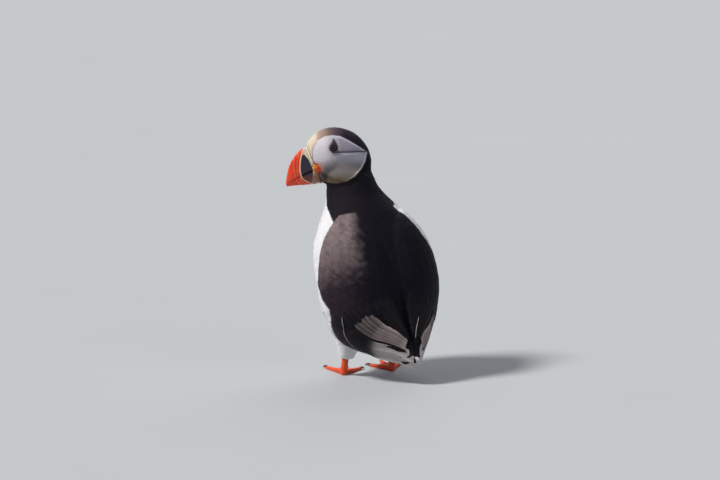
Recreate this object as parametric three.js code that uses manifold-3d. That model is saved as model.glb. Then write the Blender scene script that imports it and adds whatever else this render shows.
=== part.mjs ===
// Atlantic puffin, adult in summer plumage, standing upright with the head turned to its left.
// Millimetres, +Z up. The breast faces -Y, the bird's left side is +X, the soles stand on z = 0
// and the origin is the middle of the bounding box's underside.

import * as THREE from 'three';
import { mergeVertices } from 'three/addons/utils/BufferGeometryUtils.js';
import Module from 'manifold-3d';

const wasm = await Module();
wasm.setup();

// ---- driving dimensions -------------------------------------------------------------------

const CUT = 0.3;                 // clear gap between neighbouring parts
const HALF_CUT = CUT / 2;
const EMBED = 4;                 // how deep a part is drawn into its neighbour before trimming

// Body rows from the top of the neck to the root of the tail:
// [centre x, centre y, centre z, half width, depth to the front, depth to the back, tilt]
// A row's tilt is how many degrees its front dips below the horizontal.
const BODY_ROWS = [
  [12.8, -43, 210, 19.8, 18, 18.5, 4],
  [10.8, -39, 198, 24.2, 22, 23.5, 10],
  [10, -35, 186, 25.6, 26, 25.5, 14],
  [7, -29, 172, 33, 32, 28, 17],
  [4, -24, 155, 45, 41, 36, 20],
  [3, -17, 133, 56, 49, 43, 22],
  [2, -6, 107, 60, 53, 47, 25],
  [1.6, 6, 81, 59, 53, 47, 32],
  [2.5, 20, 59, 56.5, 47, 40, 42],
  [2.5, 38, 46, 43.5, 31, 27, 53],
  [0, 54, 39, 23, 19, 16, 61],
  [0, 66, 35, 10, 7, 8, 66],
];
const NECK_ROW = 2.6;            // row where the neck is parted from the trunk
const TRUNK_END_ROW = 11;
const ROW_SPACING = 16;          // about how far apart two rows near the neck are
const BODY_SEGMENTS = 30;
const BODY_RINGS_PER_ROW = 2.2;

// The folded wings follow the body but stand away from the narrowing rump.
const WING_ROWS = [
  ...BODY_ROWS.slice(0, 8),
  [1.8, 19, 59, 52, 39, 43, 42],
  [1.5, 35, 46, 40.5, 27, 35, 51],
  [0, 50, 36, 28, 20, 27, 58],
  [0, 64, 28, 18, 13, 18, 63],
  [0, 76, 21, 11, 8, 10, 66],
];
const WING_ROOT_ROW = 3.9;
const WING_PART_ROW = 9.4;       // row where the primaries are parted from the wing
const WING_TIP_ROW = 11.9;
const WING_THICKNESS = 7.5;
const WING_EDGE = 1.2;
const WING_ROOT_RISE = [-0.5, 1.5];  // rows from the root over which the wing gains thickness
const WING_THINNING = { fromRow: 7, share: 0.75 };
const WING_STEPS = { across: 9, perRow: 2 };
const WIDENING = 3;              // degrees per mm by which a grown wing's edges move apart
const INNER_GROWTH = 3;          // how much faster a grown wing's inner face moves than its outer
// The left wing's tip lies across the tail; the right one stays on its own side.
const WING_CROSSING = { fromRow: 9.5, left: 9, right: 0 };
// Angle round the body (0 breast, 90 side, 180 back) of the wing's two long edges, per row.
const WING_LOWER_EDGE = [[3.9, 126], [4.4, 114], [5, 104], [5.6, 95], [6.2, 84], [7, 71], [8, 58],
  [9, 52], [10, 57], [11, 76], [11.9, 110]];
const WING_UPPER_EDGE = [[3.9, 136], [4.4, 156], [5, 168], [6, 173], [9, 172], [11, 166], [11.9, 150]];

const HEAD_CENTRE = new THREE.Vector3(18, -49, 216);
const HEAD_TURN = 68;            // degrees the bill is turned to the bird's left
const HEAD_PITCH = 14;           // degrees the bill is dipped
// Head rows from the nape to the base of the bill: [forward, top, bottom, half width]
const HEAD_ROWS = [
  [-31.5, -1, -14, 5],
  [-29.5, 6, -20, 12],
  [-23.5, 17, -24.5, 18],
  [-12, 26.5, -26, 22.8],
  [0, 31, -27, 24],
  [10, 31, -26, 21.5],
  [18.7, 27, -24, 16.5],
  [25.5, 20.3, -22.3, 11.8],
];
const HEAD_SEGMENTS = 24;
const HEAD_RINGS = 12;
const HEAD_RING_SWEEP = 0.8 * Math.PI;  // crowds the rings towards the nape and the bill
const BILL_BASE_LEAN = 0.14;     // how far the bill's base slopes forward per mm of height
const LEAN_FROM = 5;             // forward of this the head's rings lean like the bill's base
const LEAN_TO = 45;              // forward of this the bill's rings stand upright again

const CERE_BACK = 26.2;
const CERE_FRONT = 28.2;
const CERE_HALF_WIDTH = 11.2;
const CERE_SWELL = { back: 0.4, middle: 1 };
// Bill rows from the base to the tip: [forward, culmen, mouth, gonys, half width]
const BILL_ROWS = [
  [28.5, 17.4, -5.2, -21.6, 9.6],
  [35, 16.4, -6.8, -20.6, 8.6],
  [41.5, 13, -8.6, -19.2, 7.2],
  [48.8, 6.5, -11, -17.6, 5.2],
  [53.6, -0.9, -12.6, -16.9, 3.5],
  [56.8, -8.1, -13.9, -16.4, 2.2],
  [58.6, -12.9, -15, -16.2, 1.1],
];
// Half widths of the mandibles' edges as shares of the bill's own.
const BILL_SHARES = { culmen: 0.45, gonys: 0.5, lowerMouth: 0.95 };
// How round a mandible is towards its ridge and its mouth edge: lower is squarer.
const BILL_ROUNDNESS = { ridge: 0.5, mouth: 0.18 };
const BILL_SEGMENTS = 16;
const BILL_RINGS = 9;

// Fleshy yellow-orange rosette at each corner of the mouth.
const ROSETTE = { forward: 24.6, up: -3.8, radius: 4.3, flatten: 0.62, sink: 0.6 };

const ROSETTE_STEPS = [12, 7];

const EYE = { forward: 3.6, up: 13.2, radius: 4.2, sink: 2.6 };
const EYE_STEPS = [14, 8];
const EYE_PLATE_RISE = 1.2;
// Outlines of the horny plates round the eye as forward/up offsets from the eye's centre.
const EYE_PLATES = {
  upper: [[-3.6, 2.4], [2.3, 3.4], [1.8, 5], [-0.3, 7.6], [-2.5, 10], [-3.4, 6.6]],
  lower: [[-4.6, -3], [-4.4, -4.6], [3, -3.6], [3.9, -2.4]],
};

// Tail root and tip as [y, z]; its end is rounded and its sides droop.
const TAIL = { root: [44, 45], tip: [79.5, 20], rootHalfWidth: 8, tipHalfWidth: 13 };
const TAIL_THICKNESS = [3.4, 1.4];
const TAIL_ROUNDING = 0.09;
const TAIL_DROOP = 0.025;
const TAIL_STEPS = [8, 4];

const STANCE = {
  left: { side: 1, heel: [38, 1], turn: -30, hipInward: 6 },
  right: { side: -1, heel: [-15, 5], turn: 12, hipInward: 0 },
};
const ANKLE_HEIGHT = 30;
const ANKLE_BACK = 3;
const ANKLE_INWARD = 1.5;
const HIP = { back: 2, height: 58 };
const SHANK_END = 17.5;
const SHANK_RADII = [22, 6.5];
const TARSUS_RADII = [3.4, 2.9];
const TARSUS_FOOT_HEIGHT = 5.4;
const TARSUS_SEGMENTS = 14;
const SHANK_SEGMENTS = 18;

// Toes: [name, angle from straight ahead towards the outside, length, root radius, tip radius]
const TOES = [
  ['inner', -32, 29, 2.7, 1.9],
  ['middle', 0, 36, 2.9, 2.0],
  ['outer', 32, 35, 2.6, 1.8],
];
const TOE_BONES = 3;
const TOE_SEGMENTS = 8;
const TOE_START_HEIGHT = 2.6;
const TOE_END_HEIGHT = 1.8;
const KNUCKLE_RISE = 0.7;
const HEEL_PAD = { radius: 3.6, height: 2.4, steps: [10, 6] };
const WEB = { thickness: 1.4, reach: 0.93, scoop: 0.13, start: 3, steps: 6 };
const CLAW = { length: 7.5, radius: 1.7, tipRadius: 0.5, rise: 2.1, tipHeight: 0.7, flatten: 0.9 };
const SOLE_TRIM = 0.8;           // how much of a toe's round underside is cut away flat
const FLOOR_BOX = 400;

const LOOKS = {
  black: { color: 0x15141b, roughness: 0.75, metalness: 0 },
  white: { color: 0xe9e8e6, roughness: 0.85, metalness: 0 },
  orange: { color: 0xe0501c, roughness: 0.5, metalness: 0 },
  red: { color: 0xd2361a, roughness: 0.35, metalness: 0 },
  cream: { color: 0xe3cf9a, roughness: 0.6, metalness: 0 },
  yolk: { color: 0xe8912a, roughness: 0.6, metalness: 0 },
  horn: { color: 0x1b1816, roughness: 0.4, metalness: 0 },
  eye: { color: 0x0d0a09, roughness: 0.08, metalness: 0 },
  slate: { color: 0x3a3f4b, roughness: 0.45, metalness: 0 },
  wing: { color: 0x1b191e, roughness: 0.7, metalness: 0 },
};

// ---- meshes and solids --------------------------------------------------------------------

const rad = THREE.MathUtils.degToRad;
const vec = (x, y, z) => new THREE.Vector3(x, y, z);

// Smooth interpolation of a table of rows; positions default to the rows' own numbers.
function table(rows, positions = rows.map((_, i) => i)) {
  const track = new THREE.CubicInterpolant(positions, rows.flat(), rows[0].length);
  return (t) => Array.from(track.evaluate(THREE.MathUtils.clamp(t, positions[0], positions.at(-1))));
}

function keyed(pairs) {
  const read = table(pairs.map(([, value]) => [value]), pairs.map(([at]) => at));
  return (t) => read(t)[0];
}

function geometryOf(points, faces) {
  const geometry = new THREE.BufferGeometry();
  const flat = points.flatMap((point) => point.toArray());
  geometry.setAttribute('position', new THREE.Float32BufferAttribute(flat, 3));
  geometry.setIndex(faces.flat());
  return geometry;
}

function signedVolume(points, faces) {
  const across = vec(0, 0, 0);
  const part = ([a, b, c]) => points[a].dot(across.crossVectors(points[b], points[c]));
  return faces.reduce((sum, face) => sum + part(face), 0);
}

function outward(points, faces) {
  const turned = signedVolume(points, faces) < 0 ? faces.map(([a, b, c]) => [a, c, b]) : faces;
  return geometryOf(points, turned);
}

function toSolid(geometry) {
  const bare = geometry.clone();
  bare.deleteAttribute('normal');
  bare.deleteAttribute('uv');
  const merged = mergeVertices(bare, 1e-4);
  const mesh = new wasm.Mesh({
    numProp: 3,
    vertProperties: new Float32Array(merged.attributes.position.array),
    triVerts: new Uint32Array(merged.index.array),
  });
  return new wasm.Manifold(mesh);
}

function toGeometry(solid) {
  const mesh = solid.getMesh();
  const geometry = new THREE.BufferGeometry();
  geometry.setAttribute('position', new THREE.BufferAttribute(new Float32Array(mesh.vertProperties), 3));
  geometry.setIndex(new THREE.BufferAttribute(new Uint32Array(mesh.triVerts), 1));
  return geometry;
}

// Closed solid through rings of equal length, each end closed round its own centre.
function loft(rings) {
  const count = rings[0].length;
  const points = rings.flat();
  const faces = [];
  for (let i = 0; i + 1 < rings.length; i += 1) {
    for (let j = 0; j < count; j += 1) {
      const a = i * count + j;
      const b = i * count + ((j + 1) % count);
      faces.push([a, b, a + count], [b, b + count, a + count]);
    }
  }
  for (const [ring, flip] of [[0, true], [rings.length - 1, false]]) {
    const hub = points.push(middleOf(rings[ring])) - 1;
    for (let j = 0; j < count; j += 1) {
      const a = ring * count + j;
      const b = ring * count + ((j + 1) % count);
      faces.push(flip ? [b, a, hub] : [a, b, hub]);
    }
  }
  return outward(points, faces);
}

// Closed sheet between an inner and an outer surface, both given as place(u, v).
function sheet(inner, outer, across, along) {
  const points = [];
  for (const surface of [inner, outer]) {
    for (let i = 0; i <= across; i += 1) {
      for (let j = 0; j <= along; j += 1) points.push(surface(i / across, j / along));
    }
  }
  const layer = (across + 1) * (along + 1);
  const at = (k, i, j) => k * layer + i * (along + 1) + j;
  const faces = [];
  for (let i = 0; i < across; i += 1) {
    for (let j = 0; j < along; j += 1) {
      faces.push([at(0, i, j), at(0, i, j + 1), at(0, i + 1, j)]);
      faces.push([at(0, i + 1, j), at(0, i, j + 1), at(0, i + 1, j + 1)]);
      faces.push([at(1, i, j), at(1, i + 1, j), at(1, i, j + 1)]);
      faces.push([at(1, i + 1, j), at(1, i + 1, j + 1), at(1, i, j + 1)]);
    }
  }
  const rim = (p, q, flip) => {
    const [a, b, c, d] = [at(0, ...p), at(0, ...q), at(1, ...p), at(1, ...q)];
    faces.push(flip ? [a, b, c] : [b, a, c], flip ? [b, d, c] : [d, b, c]);
  };
  for (let i = 0; i < across; i += 1) {
    rim([i, 0], [i + 1, 0], true);
    rim([i, along], [i + 1, along], false);
  }
  for (let j = 0; j < along; j += 1) {
    rim([0, j], [0, j + 1], false);
    rim([across, j], [across, j + 1], true);
  }
  return outward(points, faces);
}

// Round tapering limb through the given centre points.
function limb(centres, radii, segments, flatten = 1) {
  const curve = new THREE.CatmullRomCurve3(centres);
  const steps = (centres.length - 1) * (centres.length > 2 ? 2 : 1);
  const rings = [];
  for (let i = 0; i <= steps; i += 1) {
    const t = i / steps;
    const along = curve.getTangent(t);
    const side = vec(0, 0, 1).cross(along);
    if (side.lengthSq() < 1e-6) side.set(1, 0, 0);
    side.normalize();
    const up = along.clone().cross(side);
    const radius = THREE.MathUtils.lerp(radii[0], radii[1], t);
    const ring = [];
    for (let j = 0; j < segments; j += 1) {
      const angle = (2 * Math.PI * j) / segments;
      ring.push(curve.getPoint(t)
        .addScaledVector(side, radius * Math.cos(angle))
        .addScaledVector(up, radius * flatten * Math.sin(angle)));
    }
    rings.push(ring);
  }
  return loft(rings);
}

// ---- trunk, neck and wings ----------------------------------------------------------------

const bodyAt = table(BODY_ROWS);
const wingGuideAt = table(WING_ROWS);

// Point on the surface that rows describe, at an angle from the breast, pushed out by grow.
function skinPoint(rowsAt, row, angle, grow = 0) {
  const [x, y, z, halfWidth, front, back, tilt] = rowsAt(row);
  const toFront = vec(0, -Math.cos(rad(tilt)), -Math.sin(rad(tilt)));
  const depth = Math.cos(angle) > 0 ? front : back;
  return vec(x + (halfWidth + grow) * Math.sin(angle), y, z)
    .addScaledVector(toFront, (depth + grow) * Math.cos(angle));
}

function bodySolid(fromRow, toRow, grow = 0) {
  const count = Math.ceil((toRow - fromRow) * BODY_RINGS_PER_ROW);
  const rings = [];
  for (let i = 0; i <= count; i += 1) {
    const row = THREE.MathUtils.lerp(fromRow, toRow, i / count);
    const ring = [];
    for (let j = 0; j < BODY_SEGMENTS; j += 1) {
      ring.push(skinPoint(bodyAt, row, (2 * Math.PI * j) / BODY_SEGMENTS, grow));
    }
    rings.push(ring);
  }
  if (grow > 0) extendEnds(rings, grow);
  return toSolid(loft(rings));
}

// Moves the two end rings outwards along the run of rings.
function extendEnds(rings, distance) {
  for (const [end, next] of [[0, 1], [rings.length - 1, rings.length - 2]]) {
    const push = middleOf(rings[end]).sub(middleOf(rings[next])).setLength(distance);
    for (const point of rings[end]) point.add(push);
  }
}

function middleOf(ring) {
  return ring.reduce((sum, p) => sum.add(p), vec(0, 0, 0)).divideScalar(ring.length);
}

const lowerEdge = keyed(WING_LOWER_EDGE);
const upperEdge = keyed(WING_UPPER_EDGE);

// How far the wing stands out at a place across it, thinning to its edges, root and tip.
function wingRise(u, row) {
  const across = Math.sqrt(Math.sin(Math.PI * THREE.MathUtils.clamp(u, 0, 1)));
  const [rootStart, rootEnd] = WING_ROOT_RISE.map((offset) => WING_ROOT_ROW + offset);
  const atRoot = THREE.MathUtils.smoothstep(row, rootStart, rootEnd);
  const thinned = THREE.MathUtils.smoothstep(row, WING_THINNING.fromRow, WING_TIP_ROW);
  const atTip = 1 - WING_THINNING.share * thinned;
  return WING_EDGE + (WING_THICKNESS - WING_EDGE) * across * atRoot * atTip;
}

// How far a wing is carried over towards the other side at a row.
function crossing(side, row) {
  const whole = side > 0 ? WING_CROSSING.left : WING_CROSSING.right;
  return whole * THREE.MathUtils.smoothstep(row, WING_CROSSING.fromRow, WING_TIP_ROW);
}

function wingSolid(side, fromRow, toRow, grow = 0) {
  const surface = (offset) => (u, v) => {
    const row = THREE.MathUtils.lerp(fromRow, toRow + grow / ROW_SPACING, v);
    const widened = [lowerEdge(row) - WIDENING * grow, upperEdge(row) + WIDENING * grow];
    const angle = rad(THREE.MathUtils.lerp(...widened, u));
    const point = skinPoint(wingGuideAt, row, side * angle, offset(u, row));
    return point.setX(point.x - side * crossing(side, row));
  };
  const along = Math.ceil((toRow - fromRow) * WING_STEPS.perRow);
  const outer = surface((u, row) => wingRise(u, row) + grow);
  const inner = surface(() => -EMBED - INNER_GROWTH * grow);
  return toSolid(sheet(inner, outer, WING_STEPS.across, along));
}

// ---- head, bill and eyes ------------------------------------------------------------------

const headFrame = new THREE.Matrix4()
  .makeTranslation(HEAD_CENTRE)
  .multiply(new THREE.Matrix4().makeRotationZ(rad(HEAD_TURN)))
  .multiply(new THREE.Matrix4().makeRotationX(rad(HEAD_PITCH)));

// Head places are given as forward (towards the bill), left and up from the head's centre.
const onHead = (forward, left, up) => vec(left, -forward, up).applyMatrix4(headFrame);
const headAt = table(HEAD_ROWS.map(([, ...rest]) => rest), HEAD_ROWS.map(([at]) => at));
const billAt = table(BILL_ROWS.map(([, ...rest]) => rest), BILL_ROWS.map(([at]) => at));

function baseLean(forward, up) {
  return BILL_BASE_LEAN * up * THREE.MathUtils.smoothstep(forward, LEAN_FROM, CERE_BACK);
}

function headPoint(forward, angle, grow = 0) {
  const [top, bottom, halfWidth] = headAt(forward);
  const up = (top + bottom) / 2 + ((top - bottom) / 2 + grow) * Math.cos(angle);
  return onHead(forward + baseLean(forward, up), (halfWidth + grow) * Math.sin(angle), up);
}

function headSolid(grow = 0) {
  const first = HEAD_ROWS[0][0];
  const last = CERE_BACK - CUT + grow;
  const list = [];
  for (let i = 0; i <= HEAD_RINGS; i += 1) {
    const turned = 1 - Math.cos((HEAD_RING_SWEEP * i) / HEAD_RINGS);
    const share = turned / (1 - Math.cos(HEAD_RING_SWEEP));
    const forward = THREE.MathUtils.lerp(first - grow, last, share);
    const ring = [];
    for (let j = 0; j < HEAD_SEGMENTS; j += 1) {
      ring.push(headPoint(forward, (2 * Math.PI * j) / HEAD_SEGMENTS, grow));
    }
    list.push(ring);
  }
  return toSolid(loft(list));
}

// One mandible's cross-section between lower and upper, rounded at its ridge, square at the mouth.
function billRing(forward, [lower, upper], [widthLow, widthHigh], isUpper) {
  const ring = [];
  for (let j = 0; j < BILL_SEGMENTS; j += 1) {
    const angle = (2 * Math.PI * j) / BILL_SEGMENTS;
    const share = (1 - Math.cos(angle)) / 2;
    const up = THREE.MathUtils.lerp(lower, upper, share);
    const power = (share < 0.5) === isUpper ? BILL_ROUNDNESS.mouth : BILL_ROUNDNESS.ridge;
    const roundness = Math.abs(Math.sin(angle)) ** power;
    const half = THREE.MathUtils.lerp(widthLow, widthHigh, share) * roundness;
    const lean = BILL_BASE_LEAN * up * THREE.MathUtils.smoothstep(-forward, -LEAN_TO, -CERE_FRONT);
    ring.push(onHead(forward + lean, Math.sign(Math.sin(angle)) * half, up));
  }
  return ring;
}

function mandible(isUpper) {
  const first = BILL_ROWS[0][0];
  const last = BILL_ROWS.at(-1)[0];
  const list = [];
  for (let i = 0; i <= BILL_RINGS; i += 1) {
    const forward = THREE.MathUtils.lerp(first, last, Math.sin((Math.PI / 2) * (i / BILL_RINGS)));
    const [culmen, mouth, gonys, half] = billAt(forward);
    const heights = isUpper ? [mouth + HALF_CUT, culmen] : [gonys, mouth - HALF_CUT];
    const shares = isUpper ? [1, BILL_SHARES.culmen] : [BILL_SHARES.gonys, BILL_SHARES.lowerMouth];
    list.push(billRing(forward, heights, shares.map((share) => half * share), isUpper));
  }
  return toSolid(loft(list));
}

function cereSolid() {
  const [culmen, , gonys] = billAt(BILL_ROWS[0][0]);
  const ringAt = (forward, swell) => {
    const ring = [];
    for (let j = 0; j < HEAD_SEGMENTS; j += 1) {
      const angle = (2 * Math.PI * j) / HEAD_SEGMENTS;
      const up = (culmen + gonys) / 2 + ((culmen - gonys) / 2 + swell) * Math.cos(angle);
      const half = (CERE_HALF_WIDTH + swell) * Math.sin(angle);
      ring.push(onHead(forward + BILL_BASE_LEAN * up, half, up));
    }
    return ring;
  };
  const middle = (CERE_BACK + CERE_FRONT) / 2;
  const rings = [
    ringAt(CERE_BACK, CERE_SWELL.back),
    ringAt(middle, CERE_SWELL.middle),
    ringAt(CERE_FRONT, 0),
  ];
  return toSolid(loft(rings));
}

function headSide(forward, up) {
  const [top, bottom, halfWidth] = headAt(forward);
  const share = (up - (top + bottom) / 2) / ((top - bottom) / 2);
  return halfWidth * Math.sqrt(1 - share * share);
}

function eyeBall(side, grow = 0) {
  const out = headSide(EYE.forward, EYE.up) - EYE.sink;
  const centre = onHead(EYE.forward, side * out, EYE.up);
  const geometry = new THREE.SphereGeometry(EYE.radius + grow, ...EYE_STEPS);
  return toSolid(geometry.translate(centre.x, centre.y, centre.z));
}

function rosette(side, grow = 0) {
  const out = headSide(ROSETTE.forward, ROSETTE.up) - ROSETTE.sink;
  const geometry = new THREE.SphereGeometry(1, ...ROSETTE_STEPS);
  const radius = ROSETTE.radius + grow;
  geometry.scale(ROSETTE.radius * ROSETTE.flatten + grow, radius, radius);
  geometry.translate(side * out, -ROSETTE.forward, ROSETTE.up);
  return toSolid(geometry.applyMatrix4(headFrame));
}

// Horny plate that follows the side of the head inside an outline round the eye.
function eyePlate(side, outline) {
  const place = (forward, up, rise) => {
    const at = [EYE.forward + forward, EYE.up + up];
    return onHead(at[0], side * (headSide(...at) + rise), at[1]);
  };
  const [middleForward, middleUp] = outline
    .reduce(([f, u], [forward, up]) => [f + forward, u + up], [0, 0])
    .map((sum) => sum / outline.length);
  const points = [-EMBED, EYE_PLATE_RISE].flatMap((rise) => [
    ...outline.map(([forward, up]) => place(forward, up, rise)),
    place(middleForward, middleUp, rise),
  ]);
  const count = outline.length;
  const faces = [];
  for (let i = 0; i < count; i += 1) {
    const next = (i + 1) % count;
    const raised = count + 1;
    faces.push([next, i, count], [i + raised, next + raised, count + raised]);
    faces.push([i, next, i + raised], [next, next + raised, i + raised]);
  }
  return toSolid(outward(points, faces));
}

// ---- legs and feet ------------------------------------------------------------------------

function legPlaces({ side, heel, hipInward }) {
  const foot = vec(heel[0], heel[1], TARSUS_FOOT_HEIGHT);
  const ankle = vec(heel[0] - side * ANKLE_INWARD, heel[1] + ANKLE_BACK, ANKLE_HEIGHT);
  const hip = vec(heel[0] - side * hipInward, heel[1] + HIP.back, HIP.height);
  return { foot, ankle, hip };
}

function toePlaces({ side, heel, turn }, [, spread, length]) {
  const heading = rad(turn) * side + side * rad(spread);
  const ahead = vec(Math.sin(heading), -Math.cos(heading), 0);
  const start = vec(heel[0], heel[1], TOE_START_HEIGHT);
  const end = start.clone().addScaledVector(ahead, length).setZ(TOE_END_HEIGHT);
  return { start, ahead, end };
}

// One toe: its first joint is raised, and its underside dips below the floor to be cut flat.
function toeSolid(stance, toe) {
  const { start, ahead } = toePlaces(stance, toe);
  const [, , length, rootRadius, tipRadius] = toe;
  const centres = [];
  for (let k = 0; k <= TOE_BONES; k += 1) {
    const share = k / TOE_BONES;
    const knuckle = k === 1 ? KNUCKLE_RISE : 0;
    const height = THREE.MathUtils.lerp(rootRadius, tipRadius, share) + knuckle - SOLE_TRIM;
    centres.push(start.clone().addScaledVector(ahead, length * share).setZ(height));
  }
  return toSolid(limb(centres, [rootRadius, tipRadius], TOE_SEGMENTS));
}

function footSolid(stance) {
  const toes = TOES.map((toe) => toeSolid(stance, toe));
  const ends = TOES.map((toe) => toePlaces(stance, toe).end);
  const { start, ahead } = toePlaces(stance, TOES[1]);
  const web = webSolid(start.clone().addScaledVector(ahead, WEB.start), ends);
  const pad = new THREE.SphereGeometry(HEEL_PAD.radius, ...HEEL_PAD.steps);
  const heelPad = toSolid(pad.translate(start.x, start.y, HEEL_PAD.height));
  const whole = [...toes, heelPad].reduce((sum, piece) => sum.add(piece), web);
  return whole.intersect(floorBox());
}

function floorBox() {
  const geometry = new THREE.BoxGeometry(FLOOR_BOX, FLOOR_BOX, FLOOR_BOX);
  return toSolid(geometry.translate(0, 0, FLOOR_BOX / 2));
}

// Web between the toes: a thin fan whose front edge is scooped between toe tips.
function webSolid(root, ends) {
  const outline = [];
  for (let k = 0; k + 1 < ends.length; k += 1) {
    for (let i = 0; i < WEB.steps; i += 1) {
      const share = i / WEB.steps;
      const reach = WEB.reach - WEB.scoop * Math.sin(Math.PI * share);
      const edge = ends[k].clone().lerp(ends[k + 1], share);
      outline.push(root.clone().lerp(edge, reach));
    }
  }
  outline.push(root.clone().lerp(ends.at(-1), WEB.reach));
  outline.push(root.clone());
  const shape = new THREE.Shape(outline.map((p) => new THREE.Vector2(p.x, p.y)));
  return toSolid(new THREE.ExtrudeGeometry(shape, { depth: WEB.thickness, bevelEnabled: false }));
}

function clawSolid(stance, toe) {
  const { end, ahead } = toePlaces(stance, toe);
  const back = end.clone().addScaledVector(ahead, CUT).setZ(CLAW.radius);
  const middle = end.clone().addScaledVector(ahead, CLAW.length * 0.5).setZ(CLAW.rise);
  const tip = end.clone().addScaledVector(ahead, CLAW.length).setZ(CLAW.tipHeight);
  const radii = [CLAW.radius, CLAW.tipRadius];
  const claw = toSolid(limb([back, middle, tip], radii, TOE_SEGMENTS, CLAW.flatten));
  return claw.intersect(floorBox());
}

// ---- tail ---------------------------------------------------------------------------------

function tailSolid(grow = 0) {
  const place = (layer) => (u, v) => {
    const reach = v - TAIL_ROUNDING * v * (2 * u - 1) ** 2;
    const y = THREE.MathUtils.lerp(TAIL.root[0], TAIL.tip[0], reach);
    const z = THREE.MathUtils.lerp(TAIL.root[1], TAIL.tip[1], reach);
    const half = THREE.MathUtils.lerp(TAIL.rootHalfWidth, TAIL.tipHalfWidth, v) + grow;
    const x = half * (2 * u - 1);
    const thick = THREE.MathUtils.lerp(...TAIL_THICKNESS, v) / 2 + grow;
    return vec(x, y, z - TAIL_DROOP * x * x + layer * thick);
  };
  return toSolid(sheet(place(-1), place(1), ...TAIL_STEPS));
}

// ---- assembly -----------------------------------------------------------------------------

const group = new THREE.Group();
group.name = 'atlantic_puffin';

function add(name, solid, look) {
  const mesh = new THREE.Mesh(toGeometry(solid), new THREE.MeshStandardMaterial(look));
  mesh.name = name;
  group.add(mesh);
}

const SIDES = [['left', 1], ['right', -1]];
const cutRows = HALF_CUT / ROW_SPACING;
const headGrown = headSolid(CUT);
const trunkGrown = bodySolid(NECK_ROW + cutRows, TRUNK_END_ROW, 2 * CUT);
const wingsGrown = SIDES.map(([, side]) => wingSolid(side, WING_ROOT_ROW, WING_TIP_ROW, 2 * CUT));
const eyesGrown = SIDES.map(([, side]) => eyeBall(side, CUT));
const rosettesGrown = SIDES.map(([, side]) => rosette(side, CUT));

function without(solid, cutters) {
  return cutters.reduce((left, cutter) => left.subtract(cutter), solid);
}

// The biggest of the pieces a solid falls into when its neighbours are cut away.
function biggest(solid) {
  return solid.decompose().reduce((best, piece) => (piece.volume() > best.volume() ? piece : best));
}

add('head', without(headSolid(), [...eyesGrown, ...rosettesGrown]), LOOKS.white);
add('cere', without(cereSolid(), rosettesGrown), LOOKS.cream);
add('bill_upper', without(mandible(true), rosettesGrown), LOOKS.red);
add('bill_lower', without(mandible(false), rosettesGrown), LOOKS.red);
for (const [name, side] of SIDES) {
  add(`eye_${name}`, eyeBall(side), LOOKS.eye);
  add(`rosette_${name}`, rosette(side), LOOKS.yolk);
  for (const [where, outline] of Object.entries(EYE_PLATES)) {
    const plate = without(eyePlate(side, outline), [headGrown, ...eyesGrown]);
    add(`eye_plate_${where}_${name}`, plate, LOOKS.slate);
  }
}

add('neck', without(bodySolid(0, NECK_ROW - cutRows), [headGrown]), LOOKS.black);
add('trunk', bodySolid(NECK_ROW + cutRows, TRUNK_END_ROW), LOOKS.white);
add('tail', without(tailSolid(), [trunkGrown, ...wingsGrown]), LOOKS.black);
for (const [name, side] of SIDES) {
  const arm = wingSolid(side, WING_ROOT_ROW, WING_PART_ROW - cutRows);
  const tip = wingSolid(side, WING_PART_ROW + cutRows, WING_TIP_ROW);
  const above = side > 0 ? [] : [wingsGrown[0]];   // the left wing lies over the right one
  add(`wing_${name}`, without(arm, [trunkGrown]), LOOKS.wing);
  add(`primaries_${name}`, biggest(without(tip, [trunkGrown, ...above])), LOOKS.wing);
}

for (const [name, stance] of Object.entries(STANCE)) {
  const { foot, ankle, hip } = legPlaces(stance);
  const tarsus = toSolid(limb([foot, ankle], TARSUS_RADII, TARSUS_SEGMENTS));
  const grownRadii = TARSUS_RADII.map((radius) => radius + CUT);
  const tarsusGrown = toSolid(limb([foot, ankle], grownRadii, TARSUS_SEGMENTS));
  const shankEnd = ankle.clone().setZ(SHANK_END);
  const shank = toSolid(limb([hip, shankEnd], SHANK_RADII, SHANK_SEGMENTS));
  const thigh = biggest(without(shank, [trunkGrown, tarsusGrown, ...wingsGrown]));
  add(`shank_${name}`, thigh, LOOKS.white);
  add(`tarsus_${name}`, without(tarsus, [trunkGrown]), LOOKS.orange);
  add(`foot_${name}`, without(footSolid(stance), [tarsusGrown]), LOOKS.orange);
  for (const toe of TOES) add(`claw_${name}_${toe[0]}`, clawSolid(stance, toe), LOOKS.horn);
}

// The origin moves from between the heels to the middle of the bounding box's underside.
const box = new THREE.Box3().setFromObject(group);
const middle = box.getCenter(vec(0, 0, 0));
for (const mesh of group.children) mesh.geometry.translate(-middle.x, -middle.y, -box.min.z);

export default group;
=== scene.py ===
"""Atlantic puffin, adult in summer plumage: skin, feathers, bill, eyes and feet round the frame."""

import math

import bmesh
import bpy
import numpy as np
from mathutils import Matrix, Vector
from mathutils.bvhtree import BVHTree
from mathutils.kdtree import KDTree


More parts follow.
